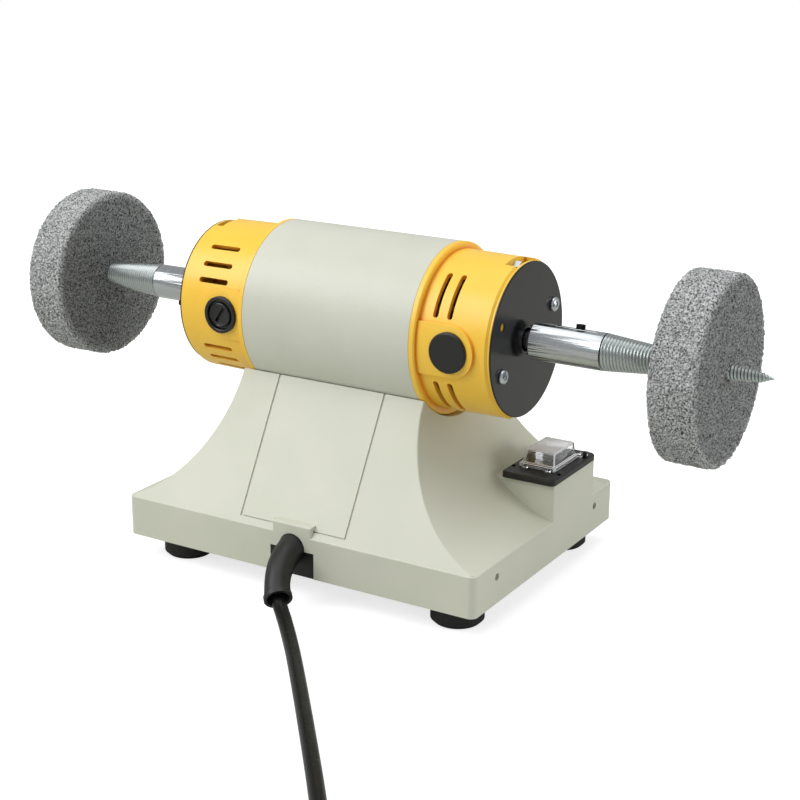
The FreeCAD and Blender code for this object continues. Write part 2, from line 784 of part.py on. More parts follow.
def foot_screws():
    """Pan-head screws through the feet and the cover into the casting."""
    screws = []
    head_bottom = foot_screw_recess - foot_screw_head_height
    end = slab_bottom + foot_screw_length - foot_screw_spare
    for x, y in foot_centres():
        screws.append(turned_z([(0, head_bottom), (foot_screw_head_radius - 1, head_bottom),
                                (foot_screw_head_radius, head_bottom + 1),
                                (foot_screw_head_radius, foot_screw_recess),
                                (foot_screw_radius, foot_screw_recess), (foot_screw_radius, end),
                                (0, end)], x, y))
    return screws


# ---------------------------------------------------------------- cord outlet and cord
def outlet_insert():
    """Moulded block that closes the notch below the cord boot."""
    near = insert_setback - slab_half_width
    block = box(outlet_x - insert_half_width + trim_clearance, outlet_x + insert_half_width - trim_clearance,
                near, casting_wall - slab_half_width, slab_bottom, insert_top - trim_clearance)
    seat = cylinder_y(boot_collar_radius, near - 1, casting_wall - slab_half_width + 1,
                      outlet_x, outlet_hole_rise)
    relief = footprint(cover_inset - cover_clearance, slab_bottom - 1, cover_top + cover_clearance)
    return block.cut([seat, relief])


def unit(start, finish):
    """Direction from one point to another."""
    return (finish - start).normalize()


def path_edges(points, report=False):
    """Straight runs joined by arcs, each as large as its two runs allow."""
    edges = []
    last = points[0]
    radii = []
    for before, corner, after in zip(points, points[1:], points[2:]):
        incoming, outgoing = unit(before, corner), unit(corner, after)
        reach = 0.45 * min((corner - before).Length, (after - corner).Length)
        half_turn = incoming.getAngle(outgoing) / 2
        radius = reach / math.tan(half_turn)
        radii.append(radius)
        start, finish = corner - incoming * reach, corner + outgoing * reach
        inward = (outgoing - incoming).normalize()
        middle = corner + inward * (radius / math.cos(half_turn) - radius)
        edges.append(Part.LineSegment(last, start).toShape())
        edges.append(Part.Arc(start, middle, finish).toShape())
        last = finish
    edges.append(Part.LineSegment(last, points[-1]).toShape())
    if report:
        print("cord arc radii, mm:", [round(radius, 1) for radius in radii])
    return edges


def tube(points, radius, report=False):
    """Round tube along a route of points."""
    path = Part.Wire(path_edges(points, report))
    circle = Part.Wire(Part.makeCircle(radius, points[0], unit(points[0], points[1])))
    solid = path.makePipeShell([circle], True, False)
    if report:
        section = math.pi * radius**2 * path.Length
        print("cord length, mm:", round(path.Length, 1), "volume ratio:", round(solid.Volume / section, 4))
    return solid


def boot_stations():
    """Centre, direction and radius of the boot's sections along the cord."""
    stations = [(V(outlet_x, boot_start_y, outlet_hole_rise - boot_sag), V(0, -1, 0), boot_radii[0])]
    for index in range(boot_first_point + 1, boot_last_point + 1):
        before, corner, after = cord_route[index - 1:index + 2]
        incoming, outgoing = unit(before, corner), unit(corner, after)
        reach = 0.45 * min((corner - before).Length, (after - corner).Length)
        half_turn = incoming.getAngle(outgoing) / 2
        depth = reach * math.tan(half_turn / 2)
        centre = corner + (outgoing - incoming).normalize() * depth
        stations.append((centre, (incoming + outgoing).normalize(), boot_radii[index - boot_first_point]))
    return stations


def cord_boot():
    """Bent rubber boot that leads the cord out of the casting down to the bench."""
    stations = boot_stations()
    rings = [Part.Wire(Part.makeCircle(radius, centre, direction)) for centre, direction, radius in stations]
    sleeve = Part.makeLoft(rings, True, False)
    inner_wall = casting_wall - slab_half_width
    collar = cylinder_y(boot_collar_radius, boot_start_y, inner_wall, outlet_x, outlet_hole_rise)
    flange = cylinder_y(boot_flange_radius, inner_wall, inner_wall + boot_flange_thickness,
                        outlet_x, outlet_hole_rise)
    lip, direction, lip_radius = stations[-1]
    rim = Part.makeCylinder(lip_radius, boot_lip_length, lip - direction * boot_lip_length, direction)
    mouth = Part.makeCone(cord_radius, lip_radius - boot_lip_wall, boot_mouth_depth + 0.4,
                          lip - direction * boot_mouth_depth, direction)
    boot = sleeve.fuse([collar, flange, rim])
    return boot.cut([mouth, tube(cord_route, cord_radius)])


def cord_clamp():
    """Moulded clamp on the bottom cover that grips the cord inside the casting."""
    near = casting_wall + boot_flange_thickness + clamp_gap - slab_half_width
    far = near + clamp_thickness
    block = box(outlet_x - clamp_half_width, outlet_x + clamp_half_width, near, far, cover_top,
                outlet_hole_rise + cord_radius + clamp_cap)
    return block.cut(cylinder_y(cord_radius, near - 1, far + 1, outlet_x, outlet_hole_rise))


def coil_place():
    """Centre of the coil, and the angle at which the cord runs into its outer turn."""
    direction = unit(cord_route[-2], cord_route[-1])
    sideways = V(direction.y, -direction.x, 0)
    outer_turn = coil_radius + cord_diameter * (coil_turns_wide - 1) / 2
    centre = cord_route[-1] + sideways * outer_turn
    return centre, math.atan2(-sideways.y, -sideways.x), outer_turn


def cord_coil():
    """Outer shape of the wound cord: a ring, three turns wide and two high."""
    centre, _, _ = coil_place()
    half = cord_diameter * coil_turns_wide / 2
    height = cord_diameter * coil_turns_high
    inner, outer = coil_radius - half, coil_radius + half
    corner = cord_radius * coil_corner
    low, high = cord_floor_gap, cord_floor_gap + height
    profile = [(inner + corner, low), (outer - corner, low), (outer, low + corner), (outer, high - corner),
               (outer - corner, high), (inner + corner, high), (inner, high - corner), (inner, low + corner)]
    return turned_z(profile, centre.x, centre.y)


def plug_route():
    """The short lead from the top of the coil to the plug."""
    centre, entry, outer_turn = coil_place()
    angle = entry - math.radians(coil_exit_turn)
    start = V(centre.x + outer_turn * math.cos(angle), centre.y + outer_turn * math.sin(angle),
              upper_cord_z)
    heading = V(math.sin(angle), -math.cos(angle), 0)
    bend = -math.radians(plug_lead_bend)
    turned = V(heading.x * math.cos(bend) - heading.y * math.sin(bend),
               heading.x * math.sin(bend) + heading.y * math.cos(bend), 0)
    middle = start + heading * plug_lead
    return [start, middle, middle + turned * plug_lead]


def on_plug(shape):
    """Piece drawn along +X from the end of the lead, turned and moved there."""
    route = plug_route()
    direction = unit(route[1], route[2])
    angle = math.degrees(math.atan2(direction.y, direction.x))
    shape.rotate(V(0, 0, 0), ALONG_Z, angle)
    shape.translate(route[2])
    return shape


def mains_plug():
    """Moulded grounded plug with its tapered strain relief."""
    thin, thick = plug_relief_wall
    relief = Part.makeCone(cord_radius + thin, cord_radius + thick, plug_relief_length, V(0, 0, 0), ALONG_X)
    body = box(plug_relief_length, plug_relief_length + plug_length, -plug_width / 2, plug_width / 2,
               -plug_thickness / 2, plug_thickness / 2)
    long_edges = [edge for edge in body.Edges if abs(edge.tangentAt(edge.FirstParameter).x) > 0.99]
    body = body.makeFillet(plug_edge_round, long_edges)
    back = edges_where(body, lambda centre, length: centre.x < plug_relief_length + 0.01)
    body = body.makeChamfer(plug_shoulder, back)
    return on_plug(body.fuse(relief))


def plug_pins():
    """Two flat blades and the round earth pin."""
    face = plug_relief_length + plug_length
    half = plug_blade_thickness / 2
    blades = [box(face, face + plug_blade_length, side * plug_blade_offset - half,
                  side * plug_blade_offset + half, plug_blade_low, plug_blade_low + plug_blade_height)
              for side in BOTH_SIDES]
    earth = Part.makeCylinder(earth_pin_radius, plug_blade_length + earth_pin_longer,
                              V(face, 0, -earth_pin_drop), ALONG_X)
    return [on_plug(pin) for pin in blades + [earth]]


# ---------------------------------------------------------------- motor housing
def motor_shell():
    """Steel tube of the motor, with its tapped holes and the wire hole underneath."""
    wall = ring_x(shell_radius, shell_inner_radius, shell_left, shell_right)
    rims = edges_where(wall, lambda centre, length: length > 2 * math.pi * shell_radius - 1)
    wall = wall.makeChamfer(shell_edge_round, rims)
    low, high = axis_height - shell_radius - 1, axis_height - shell_inner_radius + 1
    holes = [cylinder_z(shell_screw_radius, low, high, x, 0) for x in shell_screw_places()]
    holes.append(cylinder_z(wire_hole_radius - wire_bush_gap, low, high, shell_middle, 0))
    return wall.cut(holes)


def shell_screws():
    """Cap screws from inside the casting into the shell."""
    screws = []
    top = axis_height - shell_inner_radius - screw_clearance
    head_bottom = shell_post_bottom - shell_screw_head_height
    for x in shell_screw_places():
        head = cylinder_z(shell_screw_head_radius, head_bottom, shell_post_bottom, x, 0)
        socket = hexagon(shell_screw_socket, shell_screw_head_height / 2)
        socket.translate(V(x, 0, head_bottom))
        screws.append(head.fuse(cylinder_z(shell_screw_radius, shell_post_bottom, top, x, 0)).cut(socket))
    return screws


def radial_pin(x, degrees, radius):
    """Round radial cutter through the bell's wall, at an angle up from the near side."""
    pin = cylinder_y(radius, -slot_reach, -slot_depth, x)
    return about_axis(pin, -degrees)


def circumferential_slot(x, start, finish):
    """Slot round the bell from one angle to another, each up from the near side."""
    half = slot_width / 2
    band = ring_x(slot_reach, slot_depth, x - half, x + half)
    middle, spread = (start + finish) / 2, (finish - start) / 2
    reach = 2 * slot_reach
    points = [V(x - half - 1, 0, axis_height)]
    for angle in (middle - spread, middle, middle + spread):
        points.append(V(x - half - 1, -reach * math.cos(math.radians(angle)),
                        axis_height + reach * math.sin(math.radians(angle))))
    wedge = Part.Face(Part.makePolygon(points + points[:1])).extrude(V(slot_width + 2, 0, 0))
    ends = [radial_pin(x, start, half), radial_pin(x, finish, half)]
    return band.common(wedge).fuse(ends)


def axial_slot(inner, outer, degrees):
    """Straight slot along the bell with round ends, at an angle up from the near side."""
    half = slot_width / 2
    cutter = box(inner + half, outer - half, -slot_reach, -slot_depth, axis_height - half, axis_height + half)
    ends = [cylinder_y(half, -slot_reach, -slot_depth, x) for x in (inner + half, outer - half)]
    cutter = cutter.fuse(ends)
    return about_axis(cutter, -degrees)


def side_pad(opening_x, flange_x):
    """Raised pad round a side opening: round at the outer end, square at the flange."""
    rise = bell_root_radius + boss_rise
    floor = -bell_inner_radius * pad_inner_reach
    outline = cylinder_y(boss_half_width, -rise - 1, floor, opening_x)
    outline = outline.fuse(box(flange_x, opening_x, -rise - 1, floor, axis_height - boss_half_width,
                               axis_height + boss_half_width))
    return outline.common(ring_x(rise, bell_tip_radius - 1, flange_x, bell_end))


def disc_screw_places():
    """Places of the two screws on a disc, on the spindle's diagonal."""
    return [(disc_hole_y, disc_hole_z), (-disc_hole_y, -disc_hole_z)]


def end_bell(shell_end, opening_x, opening_radius, slots):
    """Moulded bell drawn at the +X end: flange, tapered wall, end wall and bearing seat."""
    flange_x = shell_end + bell_flange
    root, tip = bell_root_radius, bell_tip_radius
    spigot = shell_inner_radius - spigot_clearance
    skin = turned_x([(shell_end - bell_spigot, root - bell_wall), (shell_end - bell_spigot, spigot),
                     (shell_end, spigot), (shell_end, shell_radius),
                     (flange_x - bell_flange_round, shell_radius),
                     (flange_x, shell_radius - bell_flange_round), (flange_x, root),
                     (bell_end - bell_edge_round, tip), (bell_end, tip - bell_edge_round),
                     (bell_end, shaft_radius + bell_shaft_gap),
                     (bearing_outer, shaft_radius + bell_shaft_gap), (bearing_outer, bell_inner_radius)])
    seat = ring_x(bearing_radius + bearing_boss_wall, bearing_radius, bearing_inner - 1, bearing_outer)
    rib = box(bearing_inner - 1, bearing_outer, -bell_rib_width / 2, bell_rib_width / 2,
              axis_height + bearing_radius + bearing_boss_wall - bell_rib_sink,
              axis_height + bell_inner_radius + bell_rib_sink)
    ribs = [about_axis(rib, degrees) for degrees in (45, 135, 225, 315)]
    pillars = [cylinder_x(disc_screw_radius + disc_pillar_wall, bearing_outer - disc_pillar_depth,
                          bearing_outer, y, axis_height + z) for y, z in disc_screw_places()]
    columns = [cylinder_x(tie_bolt_radius + tie_column_wall, shell_end - bell_spigot, bearing_outer,
                          0, axis_height + side * tie_radius) for side in BOTH_SIDES]
    pads = [side_pad(opening_x, flange_x - 0.3)]
    pads.append(other_side(pads[0]))
    bell = skin.fuse([seat] + ribs + pillars + columns + pads)
    cuts = [cylinder_x(tie_bolt_radius + screw_clearance, shell_end - bell_spigot - 1, bell_end + 1,
                       0, axis_height + side * tie_radius) for side in BOTH_SIDES]
    cuts += [box(bell_end - tie_notch_depth, bell_end + 1, -tie_notch_half_width, tie_notch_half_width,
                 axis_height + tie_notch_floor, axis_height + shell_radius),
             box(bell_end - tie_notch_depth, bell_end + 1, -tie_notch_half_width, tie_notch_half_width,
                 axis_height - shell_radius, axis_height - tie_notch_floor)]
    cuts += [cylinder_x(disc_screw_radius, bearing_outer - disc_pillar_depth - 1, bell_end + 1,
                        y, axis_height + z) for y, z in disc_screw_places()]
    cuts.append(cylinder_y(opening_radius, -shell_radius - 1, shell_radius + 1, opening_x))
    cuts += slots + [other_side(slot) for slot in slots]
    return bell.cut(cuts)


def end_bell_right():
    """Fan-end bell with slots that run round it."""
    slots = [circumferential_slot(x, start, finish)
             for x in right_slot_positions for start, finish in right_slot_spans]
    return end_bell(shell_right, blank_x, blank_plug_radius, slots)


def end_bell_left():
    """Brush-end bell with slots that run along it."""
    slots = [axial_slot(left_slot_inner, left_slot_outer, degrees) for degrees in left_slot_angles]
    return other_end(end_bell(-shell_left, brush_x, brush_flange_radius, slots))


def end_disc():
    """Black end disc, drawn at the +X end, with two screw holes and two spare ones."""
    disc = ring_x(disc_radius, disc_bore_radius, bell_end, bell_end + disc_thickness)
    rims = edges_where(disc, lambda centre, length: length > 2 * math.pi * disc_radius - 1
                       and centre.x > bell_end + 1)
    disc = disc.makeChamfer(disc_edge_round, rims)
    holes = [cylinder_x(disc_hole_radius, bell_end - 1, bell_end + disc_thickness + 1,
                        side_y * disc_hole_y, axis_height + side_z * disc_hole_z)
             for side_y in BOTH_SIDES for side_z in BOTH_SIDES]
    return disc.cut(holes)


def disc_screws():
    """Two pan-head screws on each disc."""
    face = bell_end + disc_thickness
    screws = []
    for y, z in disc_screw_places():
        height, radius = disc_screw_head_height, disc_screw_head_radius
        screw = turned_x([(face - disc_screw_length, 0), (face - disc_screw_length, disc_screw_radius),
                          (face, disc_screw_radius), (face, radius), (face + height * 0.5, radius),
                          (face + height * 0.85, radius * 0.72), (face + height, radius * 0.3),
                          (face + height, 0)])
        screw.translate(V(0, y, z))
        screws += [screw, other_end(screw)]
    return screws


def tie_bolts():
    """Two long bolts that clamp both bells on the shell; their heads sit in the left notches."""
    floor = bell_end - tie_notch_depth
    bolts = []
    for side in BOTH_SIDES:
        head = hexagon(tie_nut_flat, tie_nut_height)
        head.rotate(V(0, 0, 0), ALONG_Y, 90)
        head.translate(V(-floor - tie_nut_height, 0, axis_height + side * tie_radius))
        shank = cylinder_x(tie_bolt_radius, -floor, floor + tie_nut_height + tie_bolt_beyond,
                           0, axis_height + side * tie_radius)
        bolts.append(head.fuse(shank))
    return bolts


def tie_nuts():
    """Hexagon nuts in the right-hand notches."""
    floor = bell_end - tie_notch_depth
    nuts = []
    for side in BOTH_SIDES:
        nut = hexagon(tie_nut_flat, tie_nut_height)
        nut.rotate(V(0, 0, 0), ALONG_Y, 90)
        nut.translate(V(floor, 0, axis_height + side * tie_radius))
        nuts.append(nut.cut(cylinder_x(tie_bolt_radius, floor - 1, floor + tie_nut_height + 1,
                                       0, axis_height + side * tie_radius)))
    return nuts


def blanking_plugs():
    """Smooth plugs in the right bell's side openings."""
    plug = cylinder_y(blank_plug_radius, -plug_face, -bell_inner_radius + 1, blank_x)
    rim = edges_where(plug, lambda centre, length: centre.y < -plug_face + 0.01)
    plug = plug.makeChamfer(blank_plug_round, rim)
    return [plug, other_side(plug)]


# ---------------------------------------------------------------- brushes
def brush_bore(y0, y1):
    """Rectangular passage of the near brush holder."""
    half_x = brush_thickness / 2 + brush_side_clearance
    half_z = brush_width / 2 + brush_side_clearance
    return box(-brush_x - half_x, half_x - brush_x, y0, y1, axis_height - half_z, axis_height + half_z)


def brush_holders():
    """Moulded holders: a flange in the bell, a tube towards the commutator."""
    flange = cylinder_y(brush_flange_radius, -plug_face, -bell_inner_radius, -brush_x)
    rim = edges_where(flange, lambda centre, length: centre.y < -plug_face + 0.01)
    flange = flange.makeChamfer(brush_flange_round, rim)
    sleeve = cylinder_y(brush_tube_radius, -bell_tip_radius, -brush_tube_end, -brush_x)
    seat = cylinder_y(brush_cap_radius, -plug_face - 1, -bell_tip_radius + 1, -brush_x)
    holder = flange.fuse(sleeve).cut([brush_bore(-bell_tip_radius + 1, 0), seat])
    return [holder, other_side(holder)]


def brush_caps():
    """Slotted screw caps over the brushes."""
    face = -plug_face - brush_cap_rise
    cap = cylinder_y(brush_cap_radius, face, -bell_tip_radius + 1, -brush_x)
    half = brush_slot_width / 2
    slot = box(-brush_x - brush_cap_radius, brush_cap_radius - brush_x, face - 1, face + brush_slot_depth,
               axis_height - half, axis_height + half)
    slot.rotate(V(-brush_x, 0, axis_height), ALONG_Y, brush_slot_turn)
    cap = cap.cut(slot)
    return [cap, other_side(cap)]


def carbon_brushes():
    """Carbon blocks with their inner ends hollowed to the commutator."""
    near = -commutator_radius - brush_length
    block = box(-brush_x - brush_thickness / 2, -brush_x + brush_thickness / 2, near, -commutator_radius / 2,
                axis_height - brush_width / 2, axis_height + brush_width / 2)
    block = block.cut(cylinder_x(commutator_radius + running_clearance, -brush_x - commutator_length / 2,
                                 commutator_length / 2 - brush_x))
    return [block, other_side(block)]


def brush_springs():
    """Springs between cap and brush, as sleeves of their outer size."""
    near, far = -bell_tip_radius + 1, -commutator_radius - brush_length
    outer, inner = brush_spring_radii
    spring = cylinder_y(outer, near, far, -brush_x).cut(cylinder_y(inner, near - 1, far + 1, -brush_x))
    return [spring, other_side(spring)]


# ---------------------------------------------------------------- stator, rotor and bearings
def sector(radius, half_angle, x0, x1):
    """Wedge of the stator about the near side."""
    reach = radius * 2
    angle = math.radians(half_angle)
    points = [V(x0, 0, axis_height), V(x0, -reach * math.cos(angle), axis_height + reach * math.sin(angle)),
              V(x0, -reach, axis_height),
              V(x0, -reach * math.cos(angle), axis_height - reach * math.sin(angle))]
    return Part.Face(Part.makePolygon(points + points[:1])).extrude(V(x1 - x0, 0, 0))


def field_core():
    """Laminated yoke with two salient poles."""
    x0, x1 = shell_middle - stack_length / 2, shell_middle + stack_length / 2
    yoke = ring_x(core_radius, core_radius - yoke_thickness, x0, x1)
    shoe = ring_x(pole_bore + pole_shoe_thickness, pole_bore, x0, x1)
    shoe = shoe.common(sector(pole_bore, pole_shoe_half_angle, x0, x1))
    neck = box(x0, x1, yoke_thickness / 2 - core_radius, -pole_bore, axis_height - pole_half_width,
               axis_height + pole_half_width).cut(cylinder_x(pole_bore + 0.5, x0 - 1, x1 + 1))
    pole = shoe.fuse(neck)
    rods = [cylinder_x(tie_bolt_radius + screw_clearance, x0 - 1, x1 + 1, 0, axis_height + side * tie_radius)
            for side in BOTH_SIDES]
    return yoke.fuse([pole, other_side(pole)]).cut(rods).removeSplitter()


def field_coils():
    """Two saddle coils round the pole necks."""
    half_x = stack_length / 2 + 2 * coil_clearance
    half_z = pole_half_width + 2 * coil_clearance
    band = ring_x(coil_outer_radius, coil_inner_radius, shell_middle - half_x - coil_margin,
                  shell_middle + half_x + coil_margin)
    frame = box(shell_middle - half_x - coil_margin, shell_middle + half_x + coil_margin, -coil_outer_radius,
                -shaft_radius, axis_height - half_z - coil_margin, axis_height + half_z + coil_margin)
    window = box(shell_middle - half_x, shell_middle + half_x, -coil_outer_radius - 1, 0,
                 axis_height - half_z, axis_height + half_z)
    coil = band.common(frame).cut(window)
    return [coil, other_side(coil)]


def bearing_rings(outer, inner):
    """A pair of plain rings in the two bearing seats."""
    ring = ring_x(outer, inner, bearing_inner, bearing_outer)
    return [ring, other_end(ring)]


def bearing_outer_rings():
    """Outer rings, still in the bells."""
    return bearing_rings(bearing_radius, bearing_radius - bearing_ring_thickness)


def bearing_inner_rings():
    """Inner rings, turning with the shaft."""
    return bearing_rings(shaft_radius + bearing_ring_thickness, shaft_radius)


def bearing_seals():
    """Sheet seals carried by the outer rings."""
    outer = bearing_radius - bearing_ring_thickness
    inner = shaft_radius + bearing_ring_thickness + 0.3
    seals = [ring_x(outer, inner, bearing_inner, bearing_inner + seal_thickness),
             ring_x(outer, inner, bearing_outer - seal_thickness, bearing_outer)]
    return seals + [other_end(seal) for seal in seals]


def bearing_balls():
    """Balls between the rings."""
    inner = shaft_radius + bearing_ring_thickness
    outer = bearing_radius - bearing_ring_thickness
    pitch = (inner + outer) / 2
    radius = (outer - inner) / 2 - running_clearance
    balls = []
    for step in range(bearing_ball_count):
        angle = 2 * math.pi * step / bearing_ball_count
        for side in BOTH_SIDES:
            balls.append(Part.makeSphere(radius, V(side * (bearing_inner + bearing_outer) / 2,
                                                   pitch * math.cos(angle),
                                                   axis_height + pitch * math.sin(angle))))
    return balls


def motor_shaft():
    """Ground shaft with shoulders at the bearings; its ends carry the spindles."""
    return turned_x([(-shaft_end, 0), (-shaft_end, shaft_radius), (-bearing_inner, shaft_radius),
                     (-bearing_inner, shaft_shoulder_radius), (bearing_inner, shaft_shoulder_radius),
                     (bearing_inner, shaft_radius), (shaft_end, shaft_radius), (shaft_end, 0)])


def armature_core():
    """Laminated armature with its winding slots."""
    x0, x1 = shell_middle - stack_length / 2, shell_middle + stack_length / 2
    core = ring_x(armature_radius, shaft_shoulder_radius, x0, x1)
    slot = box(x0 - 1, x1 + 1, -armature_slot_width / 2, armature_slot_width / 2,
               axis_height + armature_radius - armature_slot_depth, axis_height + armature_radius + 1)
    return core.cut([about_axis(slot, 360 * step / armature_slots) for step in range(armature_slots)])


def armature_windings():
    """End turns on both sides of the core, as closed rings of their outer shape."""
    x0 = shell_middle + stack_length / 2
    outline = [(x0 + winding_length * along, winding_radius * out) for along, out in winding_profile]
    bundle = turned_x([(x0, shaft_shoulder_radius), (x0, winding_radius)] + outline
                      + [(x0 + winding_length, shaft_shoulder_radius)])
    return [bundle, bundle.mirror(V(shell_middle, 0, 0), ALONG_X)]


def commutator():
    """Commutator under the brushes, with its riser towards the windings."""
    x0, x1 = -brush_x - commutator_length / 2, -brush_x + commutator_length / 2
    riser = commutator_radius + riser_height
    return turned_x([(x0, shaft_shoulder_radius), (x0, commutator_radius),
                     (x1 - riser_length, commutator_radius), (x1 - riser_length, riser), (x1, riser),
                     (x1, shaft_shoulder_radius)])


def cooling_fan():
    """Radial fan: back plate, hub and straight blades."""
    hub_radius = shaft_shoulder_radius + fan_hub_wall
    plate = ring_x(fan_radius, shaft_shoulder_radius, fan_inner, fan_inner + fan_plate)
    hub = ring_x(hub_radius, shaft_shoulder_radius, fan_inner, fan_outer)
    root = axis_height + hub_radius + 1
    blade = box(fan_inner + fan_plate / 2, fan_outer, -fan_blade_thickness / 2, fan_blade_thickness / 2,
                root, axis_height + fan_radius - fan_blade_thickness / 2)
    blade.rotate(V(0, 0, root), ALONG_X, fan_blade_lean)
    blades = [about_axis(blade, 360 * step / fan_blades) for step in range(fan_blades)]
    return plate.fuse([hub] + blades)


# ---------------------------------------------------------------- spindles and wheels
def set_screw(position, reach):
    """Headless screw from the shaft out through the spindle, drawn at the +X end."""
    screw = Part.makeCylinder(set_screw_radius, reach - shaft_radius,
                              V(position, 0, axis_height + shaft_radius), ALONG_Z)
    socket = hexagon(set_screw_socket, set_screw_socket_depth + 1)
    socket.translate(V(position, 0, axis_height + reach - set_screw_socket_depth))
    return about_axis(screw.cut(socket), -set_screw_angle)


def spindle():
    """Steel sleeve with a tapered screw end, drawn at the +X end."""
    bore_end = spindle_inner + spindle_bore_depth
    body = turned_x([(spindle_inner, shaft_radius), (spindle_inner, spindle_radius - spindle_edge_round),
                     (spindle_inner + spindle_edge_round, spindle_radius), (thread_start, spindle_radius),
                     (thread_end, thread_end_radius), (spindle_tip, spindle_tip_radius), (spindle_tip, 0),
                     (bore_end + spindle_drill_point, 0), (bore_end, shaft_radius)])
    holes = [about_axis(cylinder_z(set_screw_radius, axis_height, axis_height + 2 * spindle_radius, x, 0),
                        -set_screw_angle) for x in set_screw_positions]
    return body.cut(holes)


def left_spindle():
    """The same spindle at the other end, half a turn round, so that its screws point down."""
    return about_axis(other_end(spindle()), 180)


def spindle_set_screws():
    """Two screws on each spindle."""
    screws = [set_screw(x, reach) for x, reach in zip(set_screw_positions, set_screw_reach)]
    return screws + [about_axis(other_end(screw), 180) for screw in screws]


def cone_radius(x):
    """Radius of the tapered screw end at a distance from the middle."""
    share = (x - thread_start) / (thread_end - thread_start)
    return spindle_radius + (thread_end_radius - spindle_radius) * share


def wheel(middle):
    """Non-woven wheel screwed on the taper, drawn at the +X end."""
    x0, x1 = middle - wheel_thickness / 2, middle + wheel_thickness / 2
    edge, radius = wheel_edge_round, wheel_radius
    corner = edge * (1 - math.sqrt(0.5))
    return turned_x([(x0, cone_radius(x0)), (x0, radius - edge), (x0 + corner, radius - corner),
                     (x0 + edge, radius), (x1 - edge, radius), (x1 - corner, radius - corner),
                     (x1, radius - edge), (x1, cone_radius(x1))])


# ---------------------------------------------------------------- switch
def switch_frame():
    """Thick rectangular bezel on the corner block, with the lid's hinge posts and pockets."""
    plate = rounded_block(frame_left, frame_right, frame_near, frame_far, switch_block_top, frame_top,
                          frame_corner_radius)
    top_edges = edges_where(plate, lambda centre, length: centre.z > frame_top - 0.01)
    plate = plate.makeChamfer(frame_edge_round, top_edges)
    post_x = lid_base_x / 2 + hinge_arm_width + hinge_side_gap
    posts = []
    for side in BOTH_SIDES:
        low, high = sorted((switch_x + side * post_x, switch_x + side * (post_x + hinge_post_width)))
        post = box(low, high, hinge_y - hinge_post_radius, hinge_y + hinge_post_radius,
                   frame_top - frame_edge_round, hinge_z)
        posts.append(post.fuse(cylinder_x(hinge_post_radius, low, high, hinge_y, hinge_z)))
    plate = plate.fuse(posts)
    through = box(switch_x - switch_half_x - trim_clearance, switch_x + switch_half_x + trim_clearance,
                  switch_y - switch_half_y - trim_clearance, switch_y + switch_half_y + trim_clearance,
                  switch_block_top - 1, frame_top + 1)
    ledge_x = switch_half_x + switch_flange + trim_clearance
    ledge_y = switch_half_y + switch_flange + trim_clearance
    ledge = box(switch_x - ledge_x, switch_x + ledge_x, switch_y - ledge_y, switch_y + ledge_y,
                frame_top - switch_flange_thickness, frame_top + 0.5)
    pins = cylinder_x(hinge_pin_radius + running_clearance, frame_left, frame_right, hinge_y, hinge_z)
    pocket_end = switch_y - lid_base_y / 2 + 1
    pockets = [box(switch_x + side * pocket_spread - pocket_half_width,
                   switch_x + side * pocket_spread + pocket_half_width, pocket_end - pocket_length,
                   pocket_end, frame_top - pocket_depth, frame_top + 1) for side in BOTH_SIDES]
    return plate.cut([through, ledge, pins] + pockets)


def switch_body():
    """Body of the rocker switch with its flange and raised rim."""
    low = frame_top - switch_depth
    body = box(switch_x - switch_half_x, switch_x + switch_half_x, switch_y - switch_half_y,
               switch_y + switch_half_y, low, frame_top)
    flange_x, flange_y = switch_half_x + switch_flange, switch_half_y + switch_flange
    flange = box(switch_x - flange_x, switch_x + flange_x, switch_y - flange_y, switch_y + flange_y,
                 frame_top - switch_flange_thickness, frame_top)
    rim = rounded_block(switch_x - rim_half_x, switch_x + rim_half_x, switch_y - rim_half_y,
                        switch_y + rim_half_y, frame_top - switch_flange_thickness,
                        frame_top + rim_height, rim_corner_radius)
    well = box(switch_x - rocker_half_x - rocker_gap, switch_x + rocker_half_x + rocker_gap,
               switch_y - rocker_radius - rocker_gap, switch_y + rocker_radius + rocker_gap,
               rocker_pivot_z - rocker_well_drop, frame_top + rim_height + 1)
    reach = rocker_half_x + rocker_gap + rocker_pin_depth
    pins = cylinder_x(rocker_pin_radius + running_clearance, switch_x - reach, switch_x + reach,
                      switch_y, rocker_pivot_z)
    return body.fuse([flange, rim]).cut([well, pins])


def switch_terminals():
    """Four tab terminals under the switch."""
    low = frame_top - switch_depth
    tabs = []
    for side_x in BOTH_SIDES:
        for side_y in BOTH_SIDES:
            x, y = switch_x + side_x * terminal_spread_x, switch_y + side_y * terminal_spread_y
            tabs.append(box(x - terminal_half_x, x + terminal_half_x, y - terminal_half_y,
                            y + terminal_half_y, low - terminal_length, low))
    return tabs


def switch_rocker():
    """Rocker with a shallow valley, stored tilted to its off side."""
    disc = cylinder_x(rocker_radius, switch_x - rocker_half_x, switch_x + rocker_half_x,
                      switch_y, rocker_pivot_z)
    reach = rocker_radius + 1
    points = [V(switch_x - rocker_half_x, switch_y + y, rocker_pivot_z + z)
              for y, z in ((-reach, rocker_crown), (0, rocker_valley), (reach, rocker_crown),
                           (reach, -rocker_belly), (-reach, -rocker_belly))]
    outline = Part.Face(Part.makePolygon(points + points[:1])).extrude(V(2 * rocker_half_x, 0, 0))
    pin_reach = rocker_half_x + rocker_gap + rocker_pin_depth - rocker_pin_gap
    pins = cylinder_x(rocker_pin_radius, switch_x - pin_reach, switch_x + pin_reach, switch_y, rocker_pivot_z)
    rocker = disc.common(outline).fuse(pins)
    rocker.rotate(V(switch_x, switch_y, rocker_pivot_z), ALONG_X, -rocker_tilt)
    return rocker


